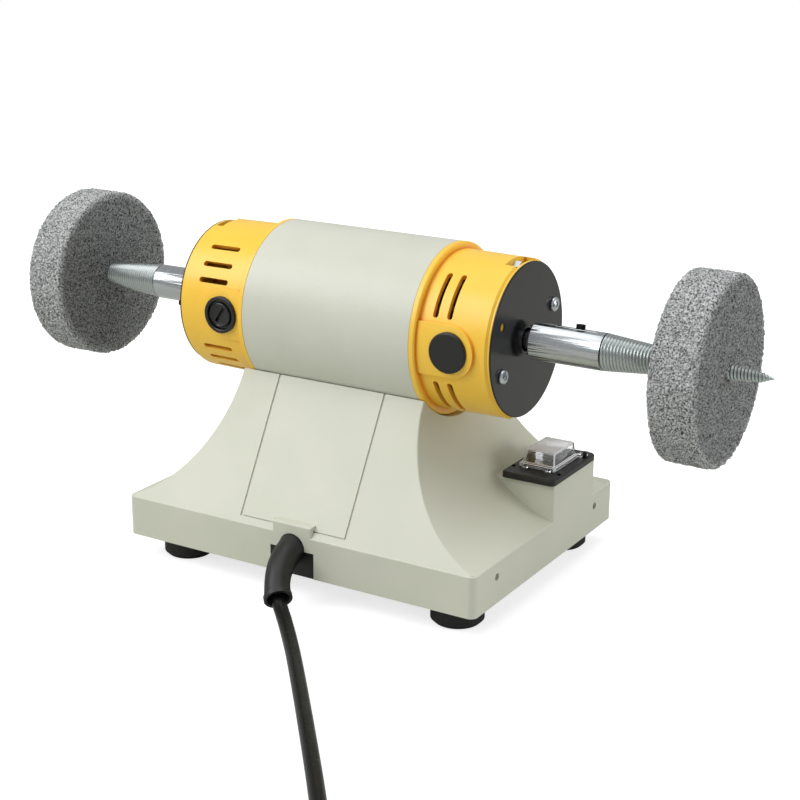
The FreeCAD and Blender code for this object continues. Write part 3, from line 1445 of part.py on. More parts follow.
def lid_loft(inset, low, high):
    """Tapered box of the lid, drawn in by an inset."""
    wires = []
    for length_x, length_y, z in ((lid_base_x, lid_base_y, low), (lid_top_x, lid_top_y, high)):
        half_x, half_y = length_x / 2 - inset, length_y / 2 - inset
        corners = [V(switch_x + x, switch_y + y, z) for x, y in
                   ((-half_x, -half_y), (half_x, -half_y), (half_x, half_y), (-half_x, half_y))]
        wires.append(Part.makePolygon(corners + corners[:1]))
    return Part.makeLoft(wires, True, True)


def switch_cover():
    """Clear hinged lid over the rocker, with its arms, pins and catch tabs."""
    low = frame_top + lid_gap
    high = frame_top + lid_height
    outer = lid_loft(0.0, low, high)
    rounded = edges_where(outer, lambda centre, length: centre.z > low + 0.5)
    outer = outer.makeFillet(lid_edge_round, rounded)
    inner = lid_loft(lid_wall, low - 0.01, high - lid_wall)
    lid = outer.cut(inner)
    front, back = switch_y - lid_base_y / 2, switch_y + lid_base_y / 2
    arm_low = low + 2 * lid_gap
    pieces = []
    for side in BOTH_SIDES:
        near, far = lid_base_x / 2 - lid_wall, lid_base_x / 2 + hinge_arm_width
        x0, x1 = sorted((switch_x + side * near, switch_x + side * far))
        arm_x0, arm_x1 = sorted((switch_x + side * lid_base_x / 2, switch_x + side * far))
        lug = box(x0, x1, back - lug_setback - lug_length, back - lug_setback, arm_low, hinge_z + lug_rise)
        arm = box(arm_x0, arm_x1, back - lug_setback - lug_length, hinge_y, arm_low, hinge_z + lug_rise)
        eye = cylinder_x(hinge_arm_radius, arm_x0, arm_x1, hinge_y, hinge_z)
        pin_reach = far + hinge_side_gap + hinge_post_width
        pin_x0, pin_x1 = sorted((switch_x + side * (far - lid_wall / 2), switch_x + side * pin_reach))
        pin = cylinder_x(hinge_pin_radius, pin_x0, pin_x1, hinge_y, hinge_z)
        corner = box(x0, x1, front + corner_setback, front + corner_setback + corner_length,
                     arm_low, low + corner_height)
        tab_x = switch_x + side * tab_spread
        tab = box(tab_x - tab_half_width, tab_x + tab_half_width, front - tab_reach, front + lid_wall,
                  low, low + tab_reach)
        pieces += [lug, arm, eye, pin, corner, tab]
    return lid.fuse(pieces)


# ---------------------------------------------------------------- speed control and wiring
def control_cylinder(radius, low, high):
    """Round piece on the operator's face, between two heights above it."""
    return on_far_slope(Part.makeCylinder(radius, high - low, V(0, knob_rise, low)))


def potentiometer():
    """Body and bushing of the speed control, through the operator's face."""
    back = -casting_wall - potentiometer_depth
    body = control_cylinder(potentiometer_radius, back, -casting_wall)
    bushing = control_cylinder(bushing_radius, -casting_wall - 1, control_nut_height)
    bore = control_cylinder(control_shaft_radius + running_clearance, back + control_bore_depth,
                            control_nut_height + 1)
    return body.fuse(bushing).cut(bore)


def potentiometer_nut():
    """Hexagon nut that clamps the control to the casting."""
    nut = hexagon(control_nut_flat, control_nut_height)
    nut.translate(V(0, knob_rise, 0))
    return on_far_slope(nut.cut(Part.makeCylinder(bushing_radius, control_nut_height + 2,
                                                  V(0, knob_rise, -1))))


def potentiometer_shaft():
    """Control shaft that turns with the knob."""
    back = -casting_wall - potentiometer_depth
    return control_cylinder(control_shaft_radius, back + control_bore_depth + running_clearance,
                            knob_gap + knob_height - knob_cap)


def speed_knob():
    """Fluted knob with a pointer rib."""
    low, high = knob_gap, knob_gap + knob_height
    body = Part.makeCone(knob_radius, knob_top_radius, knob_height, V(0, knob_rise, low))
    rims = edges_where(body, lambda centre, length: centre.z > high - 0.01)
    body = body.makeFillet(knob_edge_round, rims)
    grooves = []
    for step in range(knob_flutes):
        angle = 2 * math.pi * (step + 0.5) / knob_flutes
        place = V(knob_radius * math.cos(angle), knob_rise + knob_radius * math.sin(angle),
                  low + knob_skirt)
        grooves.append(Part.makeCylinder(knob_flute_radius, knob_height, place))
    pointer = Part.makeBox(knob_pointer_width, knob_top_radius - 2 * knob_edge_round,
                           knob_pointer_rise + 0.2,
                           V(-knob_pointer_width / 2, knob_rise + knob_edge_round, high - 0.2))
    pointer.rotate(V(0, knob_rise, 0), ALONG_Z, knob_rest_angle)
    recess = Part.makeCylinder(knob_recess_radius, control_nut_height + 1.2 - knob_gap,
                               V(0, knob_rise, low))
    bore = Part.makeCylinder(control_shaft_radius, knob_height - knob_cap, V(0, knob_rise, low))
    return on_far_slope(body.cut(grooves).fuse(pointer).cut([recess, bore]))


def board_spacers():
    """Four spacers between cover and board."""
    x, y = board_half_x - spacer_inset, board_half_y - spacer_inset
    return [cylinder_z(spacer_radius, cover_top, board_bottom, board_x + side_x * x, board_y + side_y * y)
            for side_x in BOTH_SIDES for side_y in BOTH_SIDES]


def speed_board():
    """Circuit board of the speed control."""
    return box(board_x - board_half_x, board_x + board_half_x, board_y - board_half_y,
               board_y + board_half_y, board_bottom, board_top)


def on_board(left, right, near, far, low, high):
    """Block on the board, placed from the board's middle and its top."""
    return box(board_x + left, board_x + right, board_y + near, board_y + far,
               board_top + low, board_top + high)


def board_components():
    """Heat sink, power device, suppressor and capacitor on the board."""
    pitch = (sink_right - sink_left - fin_thickness) / (sink_fins - 1)
    fins = [on_board(sink_left + pitch * step, sink_left + pitch * step + fin_thickness, sink_near, sink_far,
                     sink_base, sink_height) for step in range(sink_fins)]
    sink = on_board(sink_left, sink_right, sink_near, sink_far, 0, sink_base).fuse(fins)
    device = on_board(device_left, device_right, device_near, device_far, 0, device_height)
    choke = cylinder_z(choke_radius, board_top, board_top + choke_height, board_x + choke_x,
                       board_y + choke_y)
    capacitor = on_board(capacitor_left, capacitor_right, capacitor_near, capacitor_far, 0, capacitor_height)
    return [sink, device, choke, capacitor]


def terminal_block():
    """Three-way terminal block for the mains leads."""
    x, y, top = terminal_block_x, terminal_block_y, cover_top + terminal_block_height
    near = y - terminal_block_half_y
    block = box(x - terminal_block_half_x, x + terminal_block_half_x, near, y + terminal_block_half_y,
                cover_top, top)
    ways = [x + terminal_pitch * step for step in (-1, 0, 1)]
    entries = [cylinder_y(terminal_entry_radius, near - 1, near + terminal_cut_depth, way,
                          cover_top + terminal_entry_rise) for way in ways]
    screws = [cylinder_z(terminal_screw_radius, top - terminal_cut_depth, top + 1, way, y) for way in ways]
    return block.cut(entries + screws)


# ---------------------------------------------------------------- build every node
def build():
    """Every node of the machine, by name; a list is a group of separate solids."""
    return {
        "base_casting": base_casting(),
        "bottom_cover": bottom_cover(),
        "rubber_feet": rubber_feet(),
        "foot_screws": foot_screws(),
        "outlet_insert": outlet_insert(),
        "cord_boot": cord_boot(),
        "cord_clamp": cord_clamp(),
        "mains_cord": tube(cord_route, cord_radius, report=True),
        "cord_coil": cord_coil(),
        "plug_cord": tube(plug_route(), cord_radius),
        "mains_plug": mains_plug(),
        "plug_pins": plug_pins(),
        "motor_shell": motor_shell(),
        "shell_screws": shell_screws(),
        "end_bell_left": end_bell_left(),
        "end_bell_right": end_bell_right(),
        "end_disc_left": other_end(end_disc()),
        "end_disc_right": end_disc(),
        "disc_screws": disc_screws(),
        "tie_bolts": tie_bolts(),
        "tie_nuts": tie_nuts(),
        "blanking_plugs": blanking_plugs(),
        "brush_holders": brush_holders(),
        "brush_caps": brush_caps(),
        "carbon_brushes": carbon_brushes(),
        "brush_springs": brush_springs(),
        "field_core": field_core(),
        "field_coils": field_coils(),
        "bearing_outer_rings": bearing_outer_rings(),
        "bearing_inner_rings": bearing_inner_rings(),
        "bearing_balls": bearing_balls(),
        "bearing_seals": bearing_seals(),
        "motor_shaft": motor_shaft(),
        "armature_core": armature_core(),
        "armature_windings": armature_windings(),
        "commutator": commutator(),
        "cooling_fan": cooling_fan(),
        "spindle_left": left_spindle(),
        "spindle_right": spindle(),
        "spindle_set_screws": spindle_set_screws(),
        "wheel_left": other_end(wheel(-wheel_left)),
        "wheel_right": wheel(wheel_right),
        "switch_frame": switch_frame(),
        "switch_body": switch_body(),
        "switch_terminals": switch_terminals(),
        "switch_rocker": switch_rocker(),
        "switch_cover": switch_cover(),
        "speed_knob": speed_knob(),
        "potentiometer": potentiometer(),
        "potentiometer_shaft": potentiometer_shaft(),
        "potentiometer_nut": potentiometer_nut(),
        "speed_board": speed_board(),
        "board_components": board_components(),
        "board_spacers": board_spacers(),
        "terminal_block": terminal_block(),
    }


os.makedirs("parts", exist_ok=True)
for node, shape in build().items():
    solid = Part.makeCompound(shape) if isinstance(shape, list) else shape
    solid.exportStep(f"parts/{node}.step")
    print(f"{node}: {len(solid.Solids)} solid(s), {solid.Volume / 1000:.2f} cm3, valid {solid.isValid()}")
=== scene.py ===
"""Dental polishing lathe, dressed for the studio.

Every size is in metres and every angle in degrees, in the part's own frame: +Z up, the
bench at Z = 0, the spindle axis along X at Y = 0. The solids come from the frame; this
script gives each of them its finish and makes the pieces that are too fine or too soft
to be solids.
"""
import logging
import math
from collections.abc import Callable
from dataclasses import dataclass
from enum import Enum

import bpy
from mathutils import Matrix, Vector


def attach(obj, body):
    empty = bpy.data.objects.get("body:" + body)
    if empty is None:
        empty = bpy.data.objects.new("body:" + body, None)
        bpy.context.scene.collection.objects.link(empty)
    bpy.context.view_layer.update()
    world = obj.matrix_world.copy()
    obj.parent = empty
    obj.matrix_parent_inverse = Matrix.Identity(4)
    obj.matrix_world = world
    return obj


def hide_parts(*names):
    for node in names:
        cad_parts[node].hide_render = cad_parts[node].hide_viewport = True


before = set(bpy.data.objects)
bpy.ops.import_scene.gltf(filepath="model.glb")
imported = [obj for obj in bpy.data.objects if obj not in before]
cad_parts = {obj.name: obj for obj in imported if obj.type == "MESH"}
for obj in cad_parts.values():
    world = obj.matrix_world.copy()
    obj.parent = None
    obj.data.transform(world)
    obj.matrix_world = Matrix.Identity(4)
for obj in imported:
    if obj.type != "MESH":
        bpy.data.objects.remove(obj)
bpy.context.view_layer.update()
MM = 0.001
AXIS_HEIGHT = 140.0 * MM
WELDED = (bpy.ops.mesh.remove_doubles, {"threshold": 1e-6})
OUTWARDS = (bpy.ops.mesh.normals_make_consistent, {"inside": False})
LEVEL = 0.99  # least rise of the normal of a level face
PER_METRE = 1000.0  # texture scale that gives cells of a millimetre
WAVE_RADIANS = 20.0  # what a wave texture's bands run through in each unit of its scale
NOISE_RANGE = (0.3, 0.7)  # where nearly all of a noise texture's values lie
NEAR_SURFACE = {"samples": 8, "only_local": True}  # how a surface looks for its own walls near by
log = logging.getLogger("polishing_lathe")

Tree = bpy.types.NodeTree
Socket = bpy.types.NodeSocket
Piece = bpy.types.Object
Pair = tuple[float, float]
Triple = tuple[float, float, float]
Pairs = tuple[Pair, ...]
Profile = list[Pair]
Row = tuple[str, str, dict, dict]


class Body(Enum):
    """Bodies that carry a piece of this script, by their names in the frame."""

    FRAME = "frame"
    ROTOR = "rotor"
    LID = "switch_lid"


class End(Enum):
    """The two ends of the spindle axis."""

    RIGHT = 1
    LEFT = -1

    @property
    def word(self) -> str:
        """The end's name, as the pieces' names have it."""
        return self.name.lower()

    @property
    def turn(self) -> float:
        """Angle about Z that brings a piece made for the right end to this one."""
        return 0.0 if self is End.RIGHT else math.pi


# ---------------------------------------------------------------- colour and shader helpers
def linear(code: str) -> tuple[float, float, float, float]:
    """Turn an sRGB hex colour into Blender's linear RGBA.

    Args:
        code: Six hex digits, with or without a leading hash.

    Returns:
        Linear red, green, blue and an alpha of 1.
    """
    digits = code.lstrip("#")
    values = [int(digits[i:i + 2], 16) / 255 for i in (0, 2, 4)]
    red, green, blue = (v / 12.92 if v <= 0.04045 else ((v + 0.055) / 1.055) ** 2.4 for v in values)
    return red, green, blue, 1.0


def noise(size: float, detail: float) -> dict:
    """Settings of a noise texture whose cells measure so many millimetres."""
    return {"Scale": PER_METRE / size, "Detail": detail}


def spread(low: float, high: float, to_low: float = 0.0, to_high: float = 1.0) -> dict:
    """Settings that map one range of a pattern onto another, held at both ends."""
    return {"From Min": low, "From Max": high, "To Min": to_low, "To Max": to_high}


def two_colours(low: str, high: str) -> dict:
    """Settings of a mix between two hex colours."""
    return {"data_type": "RGBA", "A": linear(low), "B": linear(high)}


def add_node(tree: Tree, kind: str, settings: dict | None = None,
             links: dict | None = None) -> bpy.types.Node:
    """Add one shader node with its settings and its incoming links.

    Args:
        tree: Node tree that receives the node.
        kind: Blender's identifier of the node type, after its ShaderNode.
        settings: Attributes by name, or input values where the key is a socket's name or number.
        links: Sockets by name or number, each with the output that feeds it.

    Returns:
        The new node.
    """
    node = tree.nodes.new(f"ShaderNode{kind}")
    for key, value in (settings or {}).items():
        if isinstance(key, str) and hasattr(node, key):
            setattr(node, key, value)
        else:
            node.inputs[key].default_value = value
    for key, output in (links or {}).items():
        tree.links.new(output, node.inputs[key])
    return node


def empty_tree(owner: bpy.types.Material | bpy.types.World) -> Tree:
    """Turn on the nodes of a material or world, and clear them."""
    owner.use_nodes = True
    owner.node_tree.nodes.clear()
    return owner.node_tree


# ---------------------------------------------------------------- finishes
@dataclass(frozen=True)
class Finish:
    """Surface of one real material; each kind of surface adds its own pattern.

    Pattern sizes are in millimetres, depths in metres.
    """

    name: str
    slot: str
    colour: str
    roughness: float = 0.5
    metallic: float = 0.0
    ior: float = 1.5
    clearness: float = 0.0

    def pattern(self) -> list[Row]:
        """What varies over the surface.

        Returns:
            One row per node: its name, kind, settings and links. A link gives the row that
            feeds a socket, and "place" is the point on the object. A row with the name of
            one of the surface's sockets feeds that socket.
        """
        raise NotImplementedError

    def build(self) -> bpy.types.Material:
        """Make the material and its pattern.

        Returns:
            The new material.
        """
        material = bpy.data.materials.new(self.name)
        tree = empty_tree(material)
        made = {"place": add_node(tree, "TexCoord").outputs["Object"]}
        for name, kind, settings, links in self.pattern():
            node = add_node(tree, kind, settings, {socket: made[row] for socket, row in links.items()})
            made[name] = next(output for output in node.outputs if output.enabled)
        surface = {"Base Color": linear(self.colour), "Roughness": self.roughness,
                   "Metallic": self.metallic, "Transmission Weight": self.clearness}
        if not self.metallic:
            surface["IOR"] = self.ior
        feeds = {socket: made[socket] for socket in ("Base Color", "Roughness", "Normal") if socket in made}
        shader = add_node(tree, "BsdfPrincipled", surface, feeds)
        add_node(tree, "OutputMaterial", None, {0: shader.outputs[0]})
        return material


@dataclass(frozen=True)
class SprayedEnamel(Finish):
    """Stove enamel sprayed on metal: a pale satin skin with orange peel and faint clouding."""

    peel: float = 1.3
    peel_depth: float = 0.045 * MM
    cloud: float = 45.0
    gloss_spread: float = 0.06
    shade: str = "#d4d6c6"

    def pattern(self) -> list[Row]:
        """Orange peel, a finer grit in it and slow clouding of the colour."""
        dull, bright = self.roughness + self.gloss_spread, self.roughness - self.gloss_spread
        return [("clouds", "TexNoise", noise(self.cloud, 2.0), {"Vector": "place"}),
                ("cloud share", "MapRange", spread(*NOISE_RANGE), {"Value": "clouds"}),
                ("Base Color", "Mix", two_colours(self.shade, self.colour), {"Factor": "cloud share"}),
                ("peel", "TexNoise", noise(self.peel, 3.0), {"Vector": "place"}),
                ("Roughness", "MapRange", spread(*NOISE_RANGE, bright, dull), {"Value": "peel"}),
                ("Normal", "Bump", {"Distance": self.peel_depth}, {"Height": "peel"})]


@dataclass(frozen=True)
class MouldedPlastic(Finish):
    """Injection-moulded plastic: an even colour with the grain of a spark-eroded die.

    The grain of such a die is under 0.1 mm; it is drawn several times as coarse, to show.
    """

    grain: float = 0.35
    grain_depth: float = 0.006 * MM
    flow: float = 14.0
    polish_gain: float = 0.04
    polish_loss: float = 0.05
    shade: str = ""
    shade_range: Pair = (0.25, 0.75)

    def pattern(self) -> list[Row]:
        """The die's grain, and slow changes of gloss where the plastic flowed."""
        dull, bright = self.roughness + self.polish_loss, self.roughness - self.polish_gain
        rows = [("grain", "TexNoise", noise(self.grain, 2.0), {"Vector": "place"}),
                ("Normal", "Bump", {"Distance": self.grain_depth}, {"Height": "grain"}),
                ("flow", "TexNoise", noise(self.flow, 2.0), {"Vector": "place"}),
                ("Roughness", "MapRange", spread(*NOISE_RANGE, bright, dull), {"Value": "flow"})]
        if self.shade:
            rows += [("flow share", "MapRange", spread(*self.shade_range), {"Value": "flow"}),
                     ("Base Color", "Mix", two_colours(self.shade, self.colour), {"Factor": "flow share"})]
        return rows


@dataclass(frozen=True)
class MetalSkin(Finish):
    """Bare or plated metal: its polish varies in fine streaks along one direction.

    Grinding lines and zinc crystals are some hundredths of a millimetre wide; the streaks
    are drawn at 0.2 mm and more, to show. They measure so much along X, Y and Z.
    """

    streak: Triple = (0.2, 3.0, 3.0)
    streak_depth: float = 0.002 * MM
    polish_spread: float = 0.06

    def pattern(self) -> list[Row]:
        """Streaks that are a little brighter and duller than one another."""
        scale = tuple(PER_METRE / size for size in self.streak)
        dull, bright = self.roughness + self.polish_spread, self.roughness - self.polish_spread
        return [("spaced", "Mapping", {"Scale": scale}, {"Vector": "place"}),
                ("streaks", "TexNoise", {"Scale": 1.0, "Detail": 3.0}, {"Vector": "spaced"}),
                ("Roughness", "MapRange", spread(*NOISE_RANGE, bright, dull), {"Value": "streaks"}),
                ("Normal", "Bump", {"Distance": self.streak_depth}, {"Height": "streaks"})]


@dataclass(frozen=True)
class RolledThread(MetalSkin):
    """Plated screw thread: bright crests over roots darkened with painted shade."""

    root_shade_colour: str = "#101313"
    shade_reach: float = 0.9 * MM
    crest_range: Pair = (0.55, 0.92)

    def pattern(self) -> list[Row]:
        """Painted shade in the roots, where the thread's own flanks lie near."""
        return super().pattern() + [
            ("near", "AmbientOcclusion", {**NEAR_SURFACE, "Distance": self.shade_reach}, {}),
            ("crest", "MapRange", spread(*self.crest_range), {"Value": "near"}),
            ("Base Color", "Mix", two_colours(self.root_shade_colour, self.colour), {"Factor": "crest"})]


@dataclass(frozen=True)
class PaintedSlotGlowPlastic(MouldedPlastic):
    """Lightly filled plastic that lets light through, with an orange glow and shade painted deeper in its
    slots.
    """

    slot_glow_and_shade_colour: str = "#e2640a"
    shade_reach: float = 4.5 * MM
    open_range: Pair = (0.36, 0.8)

    def pattern(self) -> list[Row]:
        """A painted orange glow and shade where the walls of a slot lie near."""
        return super().pattern() + [
            ("near", "AmbientOcclusion", {**NEAR_SURFACE, "Distance": self.shade_reach}, {}),
            ("open", "MapRange", spread(*self.open_range), {"Value": "near"}),
            ("Base Color", "Mix", two_colours(self.slot_glow_and_shade_colour, self.colour),
             {"Factor": "open", "B": "Base Color"})]


@dataclass(frozen=True)
class NonWovenFibre(Finish):
    """Non-woven nylon with abrasive grain: a tangle of pale fibres over gaps darkened with painted shade.

    A single fibre is about 0.2 mm thick; the tangle is drawn at 0.9 mm, to show.
    """

    fibre: float = 0.9
    fibre_height: float = 0.6 * MM
    tangle_range: Pair = (0.41, 0.58)
    gap_shade_colour: str = "#1d1e1e"
    rim_gap_shade_colour: str = "#3a3b3b"
    worn_and_lit_rim_colour: str = "#dfe1e1"
    rim_range: Pair = (45.0 * MM, 49.5 * MM)

    def pattern(self) -> list[Row]:
        """Ridges that cross each other as fibres do, with painted shade in the gaps between them, and a rim
        paler from wear and from painted light.
        """
        tangled = {**noise(self.fibre, 4.0), "Roughness": 0.62, "Distortion": 0.9}
        return [("bend", "TexNoise", tangled, {"Vector": "place"}),
                ("tangle", "MapRange", spread(*self.tangle_range), {"Value": "bend"}),
                ("centred", "VectorMath", {"operation": "SUBTRACT", 1: (0, 0, AXIS_HEIGHT)}, {0: "place"}),
                ("across", "VectorMath", {"operation": "MULTIPLY", 1: (0, 1, 1)}, {0: "centred"}),
                ("radius", "VectorMath", {"operation": "LENGTH"}, {0: "across"}),
                ("rim", "MapRange", spread(*self.rim_range), {"Value": "radius"}),
                ("gaps", "Mix", two_colours(self.gap_shade_colour, self.rim_gap_shade_colour), {"Factor": "rim"}),
                ("fibres", "Mix", two_colours(self.colour, self.worn_and_lit_rim_colour), {"Factor": "rim"}),
                ("Base Color", "Mix", {"data_type": "RGBA"},
                 {"Factor": "tangle", "A": "gaps", "B": "fibres"}),
                ("Normal", "Bump", {"Distance": self.fibre_height}, {"Height": "bend"})]


@dataclass(frozen=True)
class ClearPolycarbonate(Finish):
    """Clear moulded polycarbonate with faint flow lines; whiter, less clear copies of it paint highlights on
    its edges and a reflection on its roof.
    """

    clearness: float = 1.0
    flow: float = 6.0
    flow_depth: float = 0.03 * MM

    def pattern(self) -> list[Row]:
        """Slight waves where the plastic flowed."""
        return [("flow", "TexNoise", noise(self.flow, 1.0), {"Vector": "place"}),
                ("Normal", "Bump", {"Distance": self.flow_depth}, {"Height": "flow"})]


@dataclass(frozen=True)
class StackedSheet(Finish):
    """Stacked or wound metal: fine parallel lines along the spindle axis.

    Sheet is 0.5 mm thick and wire 0.7 mm; their lines are drawn twice as far apart, to show.
    """

    spacing: float = 0.987
    groove_depth: float = 0.05 * MM
    shade: str = "#303033"

    def pattern(self) -> list[Row]:
        """One line per sheet or turn of wire."""
        scale = PER_METRE / self.spacing * math.tau / WAVE_RADIANS
        return [("lines", "TexWave", {"Scale": scale, "Distortion": 0.4}, {"Vector": "place"}),
                ("Base Color", "Mix", two_colours(self.shade, self.colour), {"Factor": "lines"}),
                ("Normal", "Bump", {"Distance": self.groove_depth}, {"Height": "lines"})]


FINISHES: dict[str, Finish] = {finish.name: finish for finish in (
    # Stove enamel sprayed on cast metal: warm grey-green, satin, with a slow cloud in its tone.
    SprayedEnamel("casting_enamel", "enamel", "#d3d4c4", 0.46, shade="#cdcfbe"),
    # The same enamel on rolled tube: a finer peel that breaks up the long highlight.
    SprayedEnamel("shell_enamel", "enamel", "#d3d5c7", 0.42, peel=0.9, peel_depth=0.1 * MM,
                  shade="#cdcfc0"),
    # Moulded ABS in warm yellow: soft broad highlights, and a painted orange glow and shade inside its slots.
    PaintedSlotGlowPlastic("yellow_abs", "yellow_plastic", "#ffd046", 0.34, ior=1.53, shade="#fecb40"),
    # Glossy moulded sheet: a near-black mirror that blurs what stands before it.
    MouldedPlastic("gloss_black_disc", "black_gloss", "#0e0d10", 0.2, ior=1.5, grain=3.0,
                   grain_depth=0.004 * MM),
    # Moulded nylon: dark grey under soft light, with a faint grain.
    MouldedPlastic("black_nylon", "black_plastic", "#151515", 0.42),
    # The same nylon off a polished die: a thin bright line along each groove and rim.
    MouldedPlastic("polished_black_nylon", "black_plastic", "#111111", 0.18, grain=2.0,
                   grain_depth=0.003 * MM),
    # Moulded rubber: matt and even.
    MouldedPlastic("black_rubber", "black_rubber", "#161616", 0.62, grain=0.6, grain_depth=0.02 * MM),
    # Moulded soft PVC: a dull sheen along the bend.
    MouldedPlastic("pvc_boot", "black_rubber", "#101010", 0.45, grain=0.5, grain_depth=0.01 * MM),
    # Extruded soft PVC: black, with one narrow line of light along the cord.
    MouldedPlastic("pvc_cord_sheath", "black_rubber", "#0c0c0d", 0.27, ior=1.28, grain=0.8,
                   grain_depth=0.012 * MM),
    # Moulded filled thermoplastic: plain grey, half matt.
    MouldedPlastic("grey_thermoplastic", "grey_plastic", "#8d9093", 0.5),
    # Pressed phenolic sheet under solder mask: green with a low gloss.
    MouldedPlastic("phenolic_board", "board_green", "#1d6b3a", 0.35),
    # Pressed and sintered carbon: sooty, with a fine grit.
    MouldedPlastic("carbon_block", "carbon", "#262628", 0.7, grain=0.25, grain_depth=0.02 * MM),
    # Bright zinc on pressed steel: cool and speckled.
    MetalSkin("zinc_plated_steel", "zinc_steel", "#cfd4d8", 0.24, 1.0, streak=(0.6, 0.6, 0.6)),
    # Zinc on a turned sleeve: bands of light with soft speckled borders.
    MetalSkin("turned_plated_steel", "zinc_steel", "#bfc4c6", 0.22, 1.0, streak=(0.5, 0.5, 0.5),
              streak_depth=0.0012 * MM, polish_spread=0.07),
    # Zinc on a rolled thread: grey-green, with painted shade in its roots so that each crest
    # shows as a pale line. The streaks of the rolling die are finer, and are drawn at 1 mm to show.
    RolledThread("rolled_plated_thread", "zinc_steel", "#c2cac8", 0.3, 1.0, streak=(0.9, 1.4, 1.4)),
    # Ground bar: grey with rings of light across it.
    MetalSkin("ground_steel", "steel", "#a9abae", 0.26, 1.0),
    # Oil-blackened steel: black with a worn shine.
    MetalSkin("blackened_steel", "steel", "#1c1c1e", 0.38, 0.6, streak=(0.6, 0.6, 0.6)),
    # Wound enamelled wire: copper red, one line per turn.
    StackedSheet("enamelled_copper_wire", "copper", "#b8642c", 0.35, 0.8, spacing=1.382,
                 shade="#7a3a16"),
    # Punched and stacked sheet: dull grey, one line per sheet.
    StackedSheet("electrical_sheet", "lamination", "#6f7073", 0.4, 0.9),
    # Bonded nylon fibre with grit: a grey tangle with painted shade between its fibres,
    # and a rim paler from wear and from painted light.
    NonWovenFibre("non_woven_nylon", "nylon_fibre", "#a9abab", 0.85),
    # Moulded clear polycarbonate: its walls show the rocker behind them.
    ClearPolycarbonate("clear_polycarbonate", "clear", "#f8fafa", 0.03, ior=1.585),
    # The same, scuffed by fingers: a milky roof.
    # The same, milkier, on the level roof: a painted white reflection of the light above.
    ClearPolycarbonate("polycarbonate_roof_sheen", "clear", "#f6f7f9", 0.1, ior=1.585, clearness=0.4),
    # The same on its rounded edges, whiter and less clear: painted highlights that draw the hood.
    ClearPolycarbonate("polycarbonate_edge_highlight", "clear", "#ffffff", 0.35, ior=1.585, clearness=0.25),
)}

NODE_FINISHES: dict[str, tuple[str, ...]] = {
    "casting_enamel": ("base_casting",),
    "shell_enamel": ("motor_shell",),
    "yellow_abs": ("end_bell_left", "end_bell_right"),
    "gloss_black_disc": ("end_disc_left", "end_disc_right"),
    "black_nylon": ("outlet_insert", "cord_clamp", "blanking_plugs", "brush_holders", "brush_caps",
                    "switch_frame", "switch_body", "switch_rocker", "speed_knob"),
    "black_rubber": ("rubber_feet",),
    "pvc_boot": ("cord_boot", "mains_plug"),
    "pvc_cord_sheath": ("mains_cord", "cord_coil", "plug_cord"),
    "grey_thermoplastic": ("cooling_fan", "potentiometer", "board_components", "board_spacers",
                           "terminal_block"),
    "phenolic_board": ("speed_board",),
    "carbon_block": ("carbon_brushes",),
    "zinc_plated_steel": ("bottom_cover", "foot_screws", "plug_pins", "shell_screws", "disc_screws",
                          "tie_bolts", "tie_nuts", "bearing_seals", "potentiometer_nut"),
    "turned_plated_steel": ("spindle_left", "spindle_right"),
    "ground_steel": ("brush_springs", "bearing_outer_rings", "bearing_inner_rings", "bearing_balls",
                     "motor_shaft", "potentiometer_shaft"),
    "blackened_steel": ("spindle_set_screws",),
    "enamelled_copper_wire": ("field_coils", "armature_windings", "commutator", "switch_terminals"),
    "electrical_sheet": ("field_core", "armature_core"),
    "non_woven_nylon": ("wheel_left", "wheel_right"),
    "clear_polycarbonate": ("switch_cover",),
}


class Workshop:
    """Holds every finish and gives it to the pieces."""

    def __init__(self) -> None:
        """Make every finish once."""
        self.materials = {name: finish.build() for name, finish in FINISHES.items()}

    def dress_nodes(self) -> None:
        """Give each solid of the frame its finish."""
        for name, nodes in NODE_FINISHES.items():
            for node in nodes:
                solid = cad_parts[node]
                solid.data.materials.clear()
                solid.data.materials.append(self.materials[name])
        log.info("finishes: %d materials on %d solids", len(self.materials), len(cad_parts))

    def settle(self, piece: Piece, name: str, finish: str, body: Body,
               stands_for: tuple[str, ...] = ()) -> None:
        """Name a finished piece, give it its finish and let it ride on its body.

        Args:
            piece: The modelled piece, already in place.
            name: Name of the piece.
            finish: Name of its finish.
            body: Body that carries it.
            stands_for: Solids of the frame that it replaces.
        """
        piece.name = name
        piece.data.name = name
        piece.data.materials.clear()
        piece.data.materials.append(self.materials[finish])
        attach(piece, body.value)
        if stands_for:
            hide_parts(*stands_for)
        log.info("%s: %s, on %s", name, finish, body.value)


# ---------------------------------------------------------------- modelling helpers
def start_piece() -> None:
    """Deselect everything, so that an operator acts on the new piece alone."""
    if bpy.context.object and bpy.context.object.mode != "OBJECT":
        bpy.ops.object.mode_set(mode="OBJECT")
    bpy.ops.object.select_all(action="DESELECT")


def pick(piece: Piece) -> None:
    """Make one object the only selected one."""
    start_piece()
    piece.select_set(True)
    bpy.context.view_layer.objects.active = piece


def put(name: str, data: bpy.types.ID) -> Piece:
    """Put new data in the scene as an object."""
    piece = bpy.data.objects.new(name, data)
    bpy.context.scene.collection.objects.link(piece)
    return piece


def edit(piece: Piece, *steps: tuple[Callable, dict]) -> None:
    """Run mesh operators, each on the whole of a piece.

    Args:
        piece: Mesh object.
        steps: Operators with their settings.
    """
    pick(piece)
    bpy.ops.object.mode_set(mode="EDIT")
    for operator, settings in steps:
        bpy.ops.mesh.select_all(action="SELECT")
        operator(**settings)
    bpy.ops.object.mode_set(mode="OBJECT")


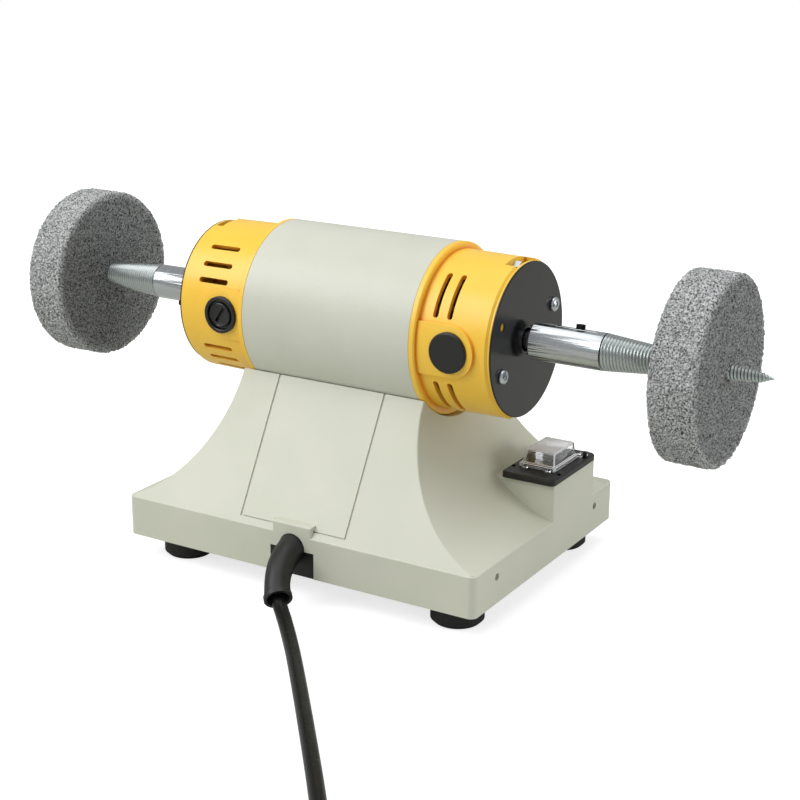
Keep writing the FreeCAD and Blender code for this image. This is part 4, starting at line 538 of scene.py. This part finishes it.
def apply_modifier(piece: Piece, kind: str, settings: dict) -> None:
    """Add one modifier and apply it.

    Args:
        piece: Mesh object.
        kind: Blender's identifier of the modifier type.
        settings: Attributes by name.
    """
    pick(piece)
    modifier = piece.modifiers.new(kind.lower(), kind)
    for key, value in settings.items():
        setattr(modifier, key, value)
    bpy.ops.object.modifier_apply(modifier=modifier.name)


def smooth(piece: Piece, degrees: float = 35.0) -> None:
    """Shade a piece smooth, apart from edges sharper than an angle."""
    pick(piece)
    bpy.ops.object.shade_smooth_by_angle(angle=math.radians(degrees))


def fix_place(piece: Piece) -> None:
    """Leave a piece's place in its mesh, with its object at the origin."""
    pick(piece)
    bpy.ops.object.transform_apply(location=True, rotation=True, scale=True)


def block(place: Triple, size: Triple, lean: float = 0.0) -> Piece:
    """Make a block.

    Args:
        place: Its middle.
        size: Its sides along X, Y and Z.
        lean: Its turn about X, in degrees.

    Returns:
        The block as a mesh object.
    """
    start_piece()
    bpy.ops.mesh.primitive_cube_add(size=1, location=place)
    piece = bpy.context.object
    piece.scale = size
    piece.rotation_euler = (math.radians(lean), 0, 0)
    fix_place(piece)
    return piece


def cut(piece: Piece, cutter: Piece) -> None:
    """Cut one piece out of another, and drop it."""
    apply_modifier(piece, "BOOLEAN", {"operation": "DIFFERENCE", "object": cutter, "solver": "EXACT"})
    bpy.data.objects.remove(cutter)


def outline(profile: Profile, level: float) -> Piece:
    """Draw a profile as a chain of edges in the XZ plane.

    Args:
        profile: Points along the axis and out from it, in metres.
        level: Height of the axis that the profile is measured from.

    Returns:
        The chain as a mesh object, in edit mode with everything selected.
    """
    start_piece()
    (x, radius), *_ = profile
    bpy.ops.mesh.primitive_plane_add(size=MM, location=(x, 0, level + radius))
    piece = bpy.context.object
    fix_place(piece)
    bpy.ops.object.mode_set(mode="EDIT")
    bpy.ops.mesh.select_all(action="SELECT")
    bpy.ops.mesh.merge(type="CENTER")
    for (x0, r0), (x1, r1) in zip(profile, profile[1:]):
        bpy.ops.mesh.extrude_vertices_move(TRANSFORM_OT_translate={"value": (x1 - x0, 0, r1 - r0)})
    bpy.ops.mesh.select_all(action="SELECT")
    return piece


def turned(profile: Profile, steps: int = 96) -> Piece:
    """Turn a profile about the spindle axis, as on a lathe.

    Args:
        profile: Points along the axis and out from it, in metres.
        steps: Facets in a full turn.

    Returns:
        The turned mesh object.
    """
    piece = outline(profile, AXIS_HEIGHT)
    bpy.ops.mesh.spin(steps=steps, angle=math.tau, center=(0, 0, AXIS_HEIGHT), axis=(1, 0, 0))
    edit(piece, WELDED, OUTWARDS)
    return piece


def copy_of_node(node: str) -> Piece:
    """Copy a solid of the frame, with its loose triangles joined."""
    piece = put(node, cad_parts[node].data.copy())
    edit(piece, WELDED)
    return piece


def pick_faces(piece: Piece, upwards: bool) -> None:
    """Leave a piece in edit mode with only its flat top or its flat underside selected."""
    pick(piece)
    bpy.ops.object.mode_set(mode="EDIT")
    bpy.ops.mesh.select_mode(type="FACE")
    bpy.ops.mesh.select_all(action="DESELECT")
    bpy.ops.object.mode_set(mode="OBJECT")
    for face in piece.data.polygons:
        face.select = (face.normal.z if upwards else -face.normal.z) > LEVEL
    bpy.ops.object.mode_set(mode="EDIT")


def join(pieces: list[Piece]) -> Piece:
    """Join several meshes into the first."""
    start_piece()
    for piece in pieces:
        piece.select_set(True)
    bpy.context.view_layer.objects.active = pieces[0]
    bpy.ops.object.join()
    return pieces[0]


# ---------------------------------------------------------------- studio
def white_to_camera(tree: Tree, shaded: bpy.types.Node, white: bpy.types.Node) -> Socket:
    """Show plain white to the camera and through glass.

    Args:
        tree: Tree that holds both shaders.
        shaded: What the lamps light.
        white: What is seen.

    Returns:
        The mixed shader's output.
    """
    path = add_node(tree, "LightPath").outputs
    seen = add_node(tree, "Math", {"operation": "MAXIMUM"},
                    {0: path["Is Camera Ray"], 1: path["Is Transmission Ray"]})
    links = {0: seen.outputs[0], 1: shaded.outputs[0], 2: white.outputs[0]}
    return add_node(tree, "MixShader", None, links).outputs[0]


@dataclass(frozen=True)
class Lamp:
    """Soft square lamp: its place, the side of its square in metres and its power in watts."""

    name: str
    place: Triple
    size: float
    power: float

    def hang(self, aim: Triple) -> None:
        """Hang the lamp so that it faces a point."""
        data = bpy.data.lights.new(self.name, "AREA")
        data.size = self.size
        data.energy = self.power
        lamp = put(self.name, data)
        lamp.location = self.place
        lamp.rotation_euler = (Vector(aim) - Vector(self.place)).to_track_quat("-Z", "Y").to_euler()


@dataclass(frozen=True)
class Studio:
    """Camera, lamps, bench top and surroundings."""

    camera_place: Triple = (0.4888, -0.7786, 0.3821)
    camera_turn: float = 30.983
    camera_fall: float = 17.676
    camera_roll: float = 0.322
    lens: float = 75.79
    sensor: float = 36.0
    sight: float = 30.0
    surround: str = "#ffffff"
    room_tone: str = "#f4f5f6"
    room_strength: float = 0.5
    bench_tone: str = "#c8c8c2"
    bench_face: str = "#c8c8c8"
    bench_glow: float = 0.72
    bench_radius: float = 2.0
    bench_facets: int = 96
    bench_level: float = -0.2 * MM
    lamp_aim: Triple = (0.0, 0.0, 0.08)
    lamps: tuple[Lamp, ...] = (Lamp("key_lamp", (-1.3, -1.4, 1.7), 1.6, 34.0),
                               Lamp("top_lamp", (0.0, 0.1, 2.4), 2.0, 20.0),
                               Lamp("end_lamp", (1.8, 0.6, 0.4), 0.9, 10.0))

    def place_camera(self) -> None:
        """Stand the camera before the lathe and make it the scene's own."""
        data = bpy.data.cameras.new("camera")
        data.lens = self.lens
        data.sensor_width = self.sensor
        data.clip_end = self.sight
        camera = put("camera", data)
        place = Matrix.Translation(self.camera_place)
        for angle, axis in ((self.camera_turn, "Z"), (90 - self.camera_fall, "X"), (self.camera_roll, "Z")):
            place @= Matrix.Rotation(math.radians(angle), 4, axis)
        camera.matrix_world = place
        bpy.context.scene.camera = camera

    def light_surroundings(self) -> None:
        """Light the room evenly and keep its background white."""
        world = bpy.data.worlds.new("studio")
        bpy.context.scene.world = world
        tree = empty_tree(world)
        soft = add_node(tree, "Background", {"Color": linear(self.room_tone), "Strength": self.room_strength})
        white = add_node(tree, "Background", {"Color": linear(self.surround), "Strength": 1.0})
        add_node(tree, "OutputWorld", None, {0: white_to_camera(tree, soft, white)})

    def lay_bench(self) -> None:
        """Lay a pale bench top that keeps the lathe's shadow and meets the white surroundings."""
        start_piece()
        bpy.ops.mesh.primitive_circle_add(vertices=self.bench_facets, radius=self.bench_radius,
                                          fill_type="NGON", location=(0, 0, self.bench_level))
        bench = bpy.context.object
        bench.name = "bench"
        material = bpy.data.materials.new("matt_white_laminate")
        tree = empty_tree(material)
        matt = add_node(tree, "BsdfDiffuse", {"Color": linear(self.bench_tone)})
        pale = add_node(tree, "BsdfDiffuse", {"Color": linear(self.bench_face)})
        glow = add_node(tree, "Emission", {"Strength": self.bench_glow})
        white = add_node(tree, "AddShader", None, {0: pale.outputs[0], 1: glow.outputs[0]})
        add_node(tree, "OutputMaterial", None, {0: white_to_camera(tree, matt, white)})
        bench.data.materials.append(material)

    def build(self) -> None:
        """Set the camera, the lamps and the bench."""
        self.place_camera()
        self.light_surroundings()
        self.lay_bench()
        for lamp in self.lamps:
            lamp.hang(self.lamp_aim)
        bpy.context.scene.view_settings.view_transform = "Standard"
        log.info("studio: camera, %d lamps and a bench", len(self.lamps))


# ---------------------------------------------------------------- pieces
@dataclass
class MainsCord:
    """Round three-core mains cord, from its clamp in the casting to the plug.

    Turns are counted from where the cord runs into its coil. At each of the shifts it steps
    by its own diameter, inwards (-1) or outwards (1), and at the climb to the upper layer.
    The steps follow one another round the coil, so that no turn runs through another.
    """

    shop: Workshop
    diameter: float = 7.8 * MM
    coil_middle: float = 43.0 * MM
    coil_turns: int = 5
    coil_exit: float = 95.0
    coil_step: float = 1 / 6
    coil_shifts: Pairs = ((5 / 6, -1), (11 / 6, -1), (3.5, 1), (4.5, 1))
    coil_climb: float = 8 / 3
    points_per_turn: int = 24
    facets: int = 6
    plug_lead: float = 24.0 * MM
    plug_bend: float = 12.0
    route: tuple[Triple, ...] = (
        (0.0043, -0.0706, 0.0289), (0.0043, -0.0810, 0.0289), (0.0051, -0.0913, 0.0270),
        (0.0073, -0.1005, 0.0233), (0.0106, -0.1079, 0.0179), (0.0152, -0.1138, 0.0118),
        (0.0236, -0.1209, 0.0074), (0.0342, -0.1319, 0.0049), (0.0500, -0.1500, 0.0040),
        (0.0753, -0.1810, 0.0040), (0.1040, -0.2166, 0.0040), (0.1361, -0.2569, 0.0040),
        (0.1616, -0.2904, 0.0040), (0.1858, -0.3246, 0.0040))
    outlet: Triple = (0.0043, -0.0848, 0.0289)
    length: float = 1.75

    def coil_point(self, centre: Vector, entry: float, turns: float, fuller: float = 1.0) -> Vector:
        """Find where the wound cord lies after so many turns.

        Args:
            centre: Middle of the coil.
            entry: Angle at which the cord runs in, in radians.
            turns: Turns since then.
            fuller: Share of its radius at which the point lies.

        Returns:
            The point.
        """
        radius, height = self.coil_middle + self.diameter, self.route[-1][2]
        for start, side in self.coil_shifts:
            radius += side * self.diameter * min(max((turns - start) / self.coil_step, 0.0), 1.0)
        height += self.diameter * min(max((turns - self.coil_climb) / self.coil_step, 0.0), 1.0)
        angle = entry - math.tau * turns
        return Vector((centre.x + fuller * radius * math.cos(angle),
                       centre.y + fuller * radius * math.sin(angle), height))

    def points(self) -> list[Vector]:
        """Lay out the whole cord: its route, the coil and the lead to the plug.

        Returns:
            Control points of the cord's middle line.
        """
        route = [Vector(point) for point in self.route]
        heading = (route[-1] - route[-2]).normalized()
        inwards = Vector((heading.y, -heading.x, 0))
        centre = route[-1] + inwards * (self.coil_middle + self.diameter)
        entry = math.atan2(-inwards.y, -inwards.x)
        total = self.coil_turns + self.coil_exit / 360
        count = round(total * self.points_per_turn)
        # A smooth curve passes inside its control points, so those of the coil lie further out.
        fuller = 1 / math.cos(math.pi / self.points_per_turn)
        route += [self.coil_point(centre, entry, total * n / count, fuller) for n in range(1, count)]
        start = self.coil_point(centre, entry, total)
        angle = entry - math.tau * total
        along = Vector((math.sin(angle), -math.cos(angle), 0))
        bent = Matrix.Rotation(-math.radians(self.plug_bend), 3, "Z") @ along
        middle = start + along * self.plug_lead
        return route + [start, middle, middle + bent * self.plug_lead]

    def build(self) -> None:
        curve = bpy.data.curves.new("mains_cord_line", "CURVE")
        curve.dimensions = "3D"
        curve.bevel_depth = self.diameter / 2
        curve.bevel_resolution = self.facets
        curve.resolution_u = self.facets
        curve.use_fill_caps = True
        spline = curve.splines.new("NURBS")
        points = self.points()
        spline.points.add(len(points) - 1)
        for knot, point in zip(spline.points, points):
            knot.co = (*point, 1.0)
        spline.order_u = 3
        spline.use_endpoint_u = True
        cord = put("mains_cord_line", curve)
        self.shop.settle(cord, "cord", "pvc_cord_sheath", Body.FRAME,
                         ("mains_cord", "cord_coil", "plug_cord"))


@dataclass
class Spindle:
    """Plated spindle: the solid's own sleeve, and a tapered end with a real screw thread."""

    shop: Workshop
    end: End
    sleeve_radius: float = 10.1 * MM
    thread_start: float = 146.3 * MM
    thread_end: float = 231.0 * MM
    end_radius: float = 2.8 * MM
    tip: float = 237.9 * MM
    pitch: float = 1.8 * MM
    depth: float = 0.75 * MM
    crest: float = 0.3 * MM
    root: float = 0.25 * MM
    facets: int = 60
    tip_flat: float = 0.1 * MM
    overlap: float = 0.02 * MM
    plain_end: float = 0.05 * MM
    crease: float = 30.0

    def cone_radius(self, x: float) -> float:
        """Find the radius over the crests.

        Args:
            x: Distance from the middle of the machine.

        Returns:
            The radius there.
        """
        if x <= self.thread_start:
            return self.sleeve_radius
        if x >= self.thread_end:
            share = min((x - self.thread_end) / (self.tip - self.thread_end), 1.0)
            return self.end_radius * (1 - share)
        share = (x - self.thread_start) / (self.thread_end - self.thread_start)
        return self.sleeve_radius + (self.end_radius - self.sleeve_radius) * share

    def thread(self) -> Piece:
        """Cut the thread as a straight screw, then draw it down to the taper.

        Returns:
            The threaded end as a mesh object.
        """
        flank = (self.pitch - self.crest - self.root) / 2
        top, bottom = self.sleeve_radius, self.sleeve_radius - self.depth
        profile = []
        x = self.thread_start - self.pitch
        while x < self.tip:
            profile += [(x, bottom), (x + flank, top), (x + flank + self.crest, top),
                        (x + 2 * flank + self.crest, bottom)]
            x += self.pitch
        screw = outline(profile, 0.0)
        bpy.ops.object.mode_set(mode="OBJECT")
        apply_modifier(screw, "SCREW", {"axis": "X", "angle": math.tau, "screw_offset": self.pitch,
                                        "steps": self.facets, "render_steps": self.facets})
        edit(screw, WELDED, OUTWARDS)
        for vertex in screw.data.vertices:
            x, y, z = vertex.co
            radius = math.hypot(y, z)
            outer = self.cone_radius(x)
            # The thread keeps its depth along the taper and runs out over the pointed tip.
            sunk = (self.sleeve_radius - radius) * min(outer / self.end_radius, 1.0)
            scale = max(outer - sunk, 0.0) / radius
            vertex.co.y, vertex.co.z = y * scale, AXIS_HEIGHT + z * scale
        edit(screw, *((bpy.ops.mesh.bisect,
                       {"plane_co": (x, 0, 0), "plane_no": (1, 0, 0), "use_fill": not inner,
                        "clear_inner": inner, "clear_outer": not inner})
                      for x, inner in ((self.thread_start, True), (self.tip - self.tip_flat, False))))
        return screw

    def build(self) -> None:
        """Join the sleeve and the thread."""
        side = self.end.value
        node = f"spindle_{self.end.word}"
        sleeve = copy_of_node(node)
        edit(sleeve, (bpy.ops.mesh.bisect, {"plane_co": (side * (self.thread_start + self.overlap), 0, 0),
                                            "plane_no": (side, 0, 0), "use_fill": True, "clear_outer": True}))
        screw = self.thread()
        screw.rotation_euler = (0, 0, self.end.turn)
        fix_place(screw)
        piece = join([sleeve, screw])
        smooth(piece, self.crease)
        self.shop.settle(piece, f"{node}_threaded", "turned_plated_steel", Body.ROTOR, (node,))
        piece.data.materials.append(self.shop.materials["rolled_plated_thread"])
        for face in piece.data.polygons:
            face.material_index = int(abs(face.center.x) > self.thread_start + self.plain_end)


@dataclass
class PolishingWheel:
    """Non-woven wheel: a thick disc of tangled fibre, raised in clumps of a size and a height."""

    shop: Workshop
    end: End
    middle: float
    radius: float = 50.0 * MM
    thickness: float = 25.1 * MM
    corner: float = 2.0 * MM
    corner_steps: int = 6
    facets: int = 160
    voxel: float = 0.62 * MM
    fibres: Pairs = ((1.7 * MM, 1.2 * MM), (0.9 * MM, 1.6 * MM))
    fibre_middle: float = 0.6
    crease: float = 80.0

    def build(self) -> None:
        """Turn the disc, cover it with an even mesh and raise its fibres."""
        low, high = self.middle - self.thickness / 2, self.middle + self.thickness / 2
        arc = [(self.corner * (1 - math.cos(a)), self.corner * (1 - math.sin(a)))
               for a in (math.radians(90 * n / self.corner_steps) for n in range(self.corner_steps + 1))]
        profile = [(low, 0.0)] + [(low + x, self.radius - r) for x, r in arc]
        profile += [(high - x, self.radius - r) for x, r in reversed(arc)] + [(high, 0.0)]
        piece = turned(profile, self.facets)
        apply_modifier(piece, "REMESH", {"mode": "VOXEL", "voxel_size": self.voxel})
        for size, height in self.fibres:
            texture = bpy.data.textures.new("fibre", "CLOUDS")
            texture.noise_scale = size
            texture.noise_depth = 1
            apply_modifier(piece, "DISPLACE", {"texture": texture, "texture_coords": "LOCAL",
                                               "strength": height, "mid_level": self.fibre_middle})
            bpy.data.textures.remove(texture)
        smooth(piece, self.crease)
        node = f"wheel_{self.end.word}"
        self.shop.settle(piece, f"{node}_fibre", "non_woven_nylon", Body.ROTOR, (node,))


@dataclass
class DiscScrews:
    """Pan-head screws with a cross recess, two on each end disc.

    The section runs from the middle of the back to the middle of the face, as shares of
    the head's height and radius.
    """

    shop: Workshop
    face: float = 100.7 * MM
    places: Pairs = ((29.3 * MM, 13.3 * MM), (-29.3 * MM, -13.3 * MM))
    radius: float = 4.0 * MM
    height: float = 3.0 * MM
    section: Pairs = ((0, 0), (0, 0.96), (0.08, 1), (0.42, 1), (0.62, 0.94), (0.8, 0.78), (0.92, 0.55),
                      (1, 0.28), (1, 0))
    facets: int = 40
    recess: Triple = (3.4 * MM, 4.8 * MM, 1.15 * MM)
    recess_lean: float = 35.0
    recess_edge: float = 0.2 * MM
    rim_edge: float = 0.08 * MM
    rim_angle: float = 40.0

    def head(self) -> Piece:
        """Turn one head on the spindle axis and sink the cross into it.

        Returns:
            The head as a mesh object.
        """
        profile = [(self.face + self.height * x, self.radius * r) for x, r in self.section]
        head = turned(profile, self.facets)
        for lean in (self.recess_lean, self.recess_lean + 90):
            cutter = block((self.face + self.height, 0, AXIS_HEIGHT), self.recess, lean)
            apply_modifier(cutter, "BEVEL", {"width": self.recess_edge, "segments": 1})
            cut(head, cutter)
        apply_modifier(head, "BEVEL", {"width": self.rim_edge, "segments": 2, "limit_method": "ANGLE",
                                       "angle_limit": math.radians(self.rim_angle)})
        smooth(head)
        return head

    def build(self) -> None:
        """Copy the head to its four places."""
        head = self.head()
        for end in End:
            for number, (y, z) in enumerate(self.places, start=1):
                copy = put("screw", head.data.copy())
                copy.rotation_euler = (0, 0, end.turn)
                copy.location = (0, y, z)
                fix_place(copy)
                stands_for = ("disc_screws",) if end is End.RIGHT and number == 1 else ()
                self.shop.settle(copy, f"disc_screw_{end.word}_{number}", "zinc_plated_steel", Body.FRAME,
                                 stands_for)
        bpy.data.objects.remove(head)


@dataclass
class EndDisc:
    """Black sheet disc with its bush, and the thin lip of the bell that it lies on."""

    shop: Workshop
    end: End
    lip_back: float = 98.2 * MM
    lip_face: float = 99.9 * MM
    lip_radius: float = 42.3 * MM
    lip_bore: float = 12.0 * MM
    lip_edge: float = 0.3 * MM
    bush_back: float = 96.6 * MM
    bush_face: float = 100.3 * MM
    bush_radius: float = 7.9 * MM
    bush_bore: float = 6.6 * MM
    flat: float = 0.5

    def ring(self, profile: Profile) -> Piece:
        """Turn a closed profile into a smooth ring at this end.

        Args:
            profile: Points along the axis and out from it, each once.

        Returns:
            The ring as a mesh object.
        """
        ring = turned(profile + profile[:1])
        ring.rotation_euler = (0, 0, self.end.turn)
        fix_place(ring)
        smooth(ring)
        return ring

    def build(self) -> None:
        """Turn the lip, and thin the disc to its sheet."""
        lip = self.ring([(self.lip_back, self.lip_bore), (self.lip_back, self.lip_radius),
                         (self.lip_face - self.lip_edge, self.lip_radius),
                         (self.lip_face, self.lip_radius - self.lip_edge), (self.lip_face, self.lip_bore)])
        self.shop.settle(lip, f"end_bell_{self.end.word}_lip", "yellow_abs", Body.FRAME)
        node = f"end_disc_{self.end.word}"
        disc = copy_of_node(node)
        side = self.end.value
        edit(disc, (bpy.ops.mesh.dissolve_limited, {"angle_limit": math.radians(self.flat)}),
             (bpy.ops.mesh.bisect, {"plane_co": (side * self.lip_face, 0, 0), "plane_no": (side, 0, 0),
                                    "clear_inner": True}))
        bush = self.ring([(self.bush_back, self.bush_bore), (self.bush_back, self.bush_radius),
                          (self.bush_face, self.bush_radius), (self.bush_face, self.bush_bore)])
        pick(disc)
        bpy.ops.object.shade_flat()
        self.shop.settle(join([disc, bush]), f"{node}_sheet", "gloss_black_disc", Body.FRAME, (node,))


@dataclass
class BrushHolders:
    """Brush holders: a broad flange with a polished groove round a slotted cap."""

    shop: Workshop
    middle: float = -69.0 * MM
    face: float = 47.2 * MM
    flange_radius: float = 10.5 * MM
    flange_depth: float = 3.2 * MM
    flange_edge: float = 0.4 * MM
    groove_radius: float = 8.3 * MM
    groove_depth: float = 1.7 * MM
    cap_radius: float = 7.1 * MM
    cap_face_radius: float = 6.0 * MM
    cap_edge: float = 0.5 * MM
    slot: Triple = (4.0 * MM, 9.4 * MM, 1.9 * MM)
    slot_lean: float = 56.5
    facets: int = 64
    crease: float = 50.0
    overlap: float = 0.1 * MM
    groove_polish: float = 8.6 * MM
    cap_polish: float = 5.9 * MM

    def flange(self) -> Piece:
        """Turn the flange with its groove.

        Returns:
            The flange on the spindle axis.
        """
        f, r, groove, edge = self.face, self.flange_radius, self.groove_radius, self.flange_edge
        back, floor = f - self.flange_depth, f - self.groove_depth
        return turned([
            (back, self.cap_radius), (back, r), (f - edge, r), (f, r - edge), (f, groove + edge),
            (f - edge, groove), (floor, groove - edge), (floor, self.cap_radius),
            (back, self.cap_radius)], self.facets)

    def cap(self) -> Piece:
        """Turn the screw cap and cut its slot.

        Returns:
            The cap on the spindle axis.
        """
        f, r, rim, edge = self.face, self.cap_radius, self.cap_face_radius, self.cap_edge
        back = f - self.flange_depth
        piece = turned([(back, 0), (back, r), (f - edge, r), (f, r - edge), (f, rim + edge),
                        (f - edge, rim), (f - edge, 0)], self.facets)
        cut(piece, block((f, 0, AXIS_HEIGHT), self.slot, self.slot_lean))
        return piece

    def build(self) -> None:
        """Set a flange and a cap on each side, over the solids' own tubes."""
        for side, word in ((-1, "near"), (1, "far")):
            flange, cap = self.flange(), self.cap()
            for piece in (flange, cap):
                smooth(piece, self.crease)
                piece.rotation_euler = (0, 0, side * math.pi / 2)
                piece.location = (self.middle, 0, 0)
                fix_place(piece)
            tube = copy_of_node("brush_holders")
            end = side * (self.face - self.flange_depth + self.overlap)
            edit(tube, *((bpy.ops.mesh.bisect,
                          {"plane_co": (0, y, 0), "plane_no": (0, way, 0), "clear_inner": True})
                         for y, way in ((0, side), (end, -side))))
            flange = join([flange, tube])
            smooth(flange, self.crease)
            for kind, piece, low, high in (("holder", flange, self.cap_radius, self.groove_polish),
                                           ("cap", cap, self.cap_polish, self.cap_radius)):
                stands_for = (f"brush_{kind}s",) if side < 0 else ()
                self.shop.settle(piece, f"brush_{kind}_{word}", "black_nylon", Body.FRAME, stands_for)
                self.polish(piece, side, low, high)

    def polish(self, piece: Piece, side: int, low: float, high: float) -> None:
        """Give the faces between two radii the polished finish.

        Args:
            piece: Flange or cap, in place.
            side: The side of the motor that it faces, -1 or 1.
            low: Inner radius.
            high: Outer radius.
        """
        piece.data.materials.append(self.shop.materials["polished_black_nylon"])
        for face in piece.data.polygons:
            radius = math.hypot(face.center.x - self.middle, face.center.z - AXIS_HEIGHT)
            outside = face.center.y * side > self.face - self.groove_depth - self.overlap
            face.material_index = int(outside and low < radius < high)


@dataclass
class SwitchLid:
    """Clear hinged lid: a hood on a low skirt, with painted highlights on the rounded edges of the moulding.
    """

    shop: Workshop
    middle: Pair = (101.4 * MM, 30.0 * MM)
    base: float = 61.9 * MM
    skirt: Triple = (22.0 * MM, 31.0 * MM, 2.3 * MM)
    hood_foot: Pair = (19.6 * MM, 27.4 * MM)
    hood_top: Pair = (17.6 * MM, 24.4 * MM)
    hood_shift: float = 0.9 * MM
    hood_height: float = 7.2 * MM
    wall: float = 1.1 * MM
    edge: float = 0.4 * MM
    tab_end: float = 14.4 * MM
    arm_start: float = 45.2 * MM
    flat: float = 1.5
    crease: float = 30.0
    edge_angle: float = 35.0
    finishes: tuple[str, ...] = ("clear_polycarbonate", "polycarbonate_edge_highlight", "polycarbonate_roof_sheen")

    def shell(self) -> Piece:
        """Raise the hood from its skirt and hollow it from below.

        Returns:
            The hollow hood as a mesh object.
        """
        (x, y), (sx, sy, sz) = self.middle, self.skirt
        piece = block((x, y, self.base + sz / 2), self.skirt)
        pick_faces(piece, upwards=True)
        level = self.base + sz
        foot_x, foot_y = self.hood_foot
        bpy.ops.mesh.extrude_region_move(TRANSFORM_OT_translate={"value": (0, 0, 0)})
        bpy.ops.transform.resize(value=(foot_x / sx, foot_y / sy, 1), center_override=(x, y, level))
        bpy.ops.mesh.extrude_region_move(
            TRANSFORM_OT_translate={"value": (0, self.hood_shift, self.hood_height)})
        bpy.ops.transform.resize(value=(self.hood_top[0] / foot_x, self.hood_top[1] / foot_y, 1),
                                 center_override=(x, y + self.hood_shift, level + self.hood_height))
        pick_faces(piece, upwards=False)
        bpy.ops.mesh.delete(type="FACE")
        edit(piece, OUTWARDS)
        apply_modifier(piece, "SOLIDIFY", {"thickness": self.wall, "offset": -1.0, "use_even_offset": True})
        edit(piece, OUTWARDS)
        return piece

    def slice_of_node(self, level: float, way: int) -> Piece:
        """Copy what the solid has before or behind a plane across Y.

        Args:
            level: Place of the plane.
            way: 1 to keep what has a greater Y, -1 to keep what has a smaller one.

        Returns:
            The slice as a mesh object.
        """
        piece = copy_of_node("switch_cover")
        edit(piece, (bpy.ops.mesh.dissolve_limited, {"angle_limit": math.radians(self.flat)}),
             (bpy.ops.mesh.bisect, {"plane_co": (0, level, 0), "plane_no": (0, way, 0), "use_fill": True,
                                    "clear_inner": True}))
        return piece

    def build(self) -> None:
        """Paint highlights on the hood's edges and a white reflection on its roof, then join its finger tab
        and hinge arms.
        """
        clear, bright, roof_sheen = (self.shop.materials[name] for name in self.finishes)
        hood = self.shell()
        for finish in (clear, bright, roof_sheen):
            hood.data.materials.append(finish)
        # The bevel's faces take the edge finish: painted white highlights along the hood's edges.
        apply_modifier(hood, "BEVEL", {"width": self.edge, "segments": 2, "limit_method": "ANGLE",
                                       "angle_limit": math.radians(self.edge_angle), "material": 1})
        # Level faces of the roof take the milkier finish: a painted white reflection of the light above.
        under_roof = self.base + self.skirt[2] + self.hood_height - self.wall / 2
        for face in hood.data.polygons:
            if face.normal.z > LEVEL and face.center.z > under_roof:
                face.material_index = 2
        piece = join([hood, self.slice_of_node(self.tab_end, -1), self.slice_of_node(self.arm_start, 1)])
        smooth(piece, self.crease)
        marks = [face.material_index for face in piece.data.polygons]
        self.shop.settle(piece, "switch_cover_moulded", "clear_polycarbonate", Body.LID, ("switch_cover",))
        for finish in (bright, roof_sheen):
            piece.data.materials.append(finish)
        for face, mark in zip(piece.data.polygons, marks):
            face.material_index = mark


def main() -> None:
    """Build and dress the whole lathe."""
    logging.basicConfig(level=logging.INFO, format="%(name)s: %(message)s")
    Studio().build()
    shop = Workshop()
    shop.dress_nodes()
    MainsCord(shop).build()
    Spindle(shop, End.RIGHT).build()
    Spindle(shop, End.LEFT).build()
    PolishingWheel(shop, End.RIGHT, 202.2 * MM).build()
    PolishingWheel(shop, End.LEFT, -197.1 * MM).build()
    for end in End:
        EndDisc(shop, end).build()
    DiscScrews(shop).build()
    BrushHolders(shop).build()
    SwitchLid(shop).build()


if __name__ == "__main__":
    main()
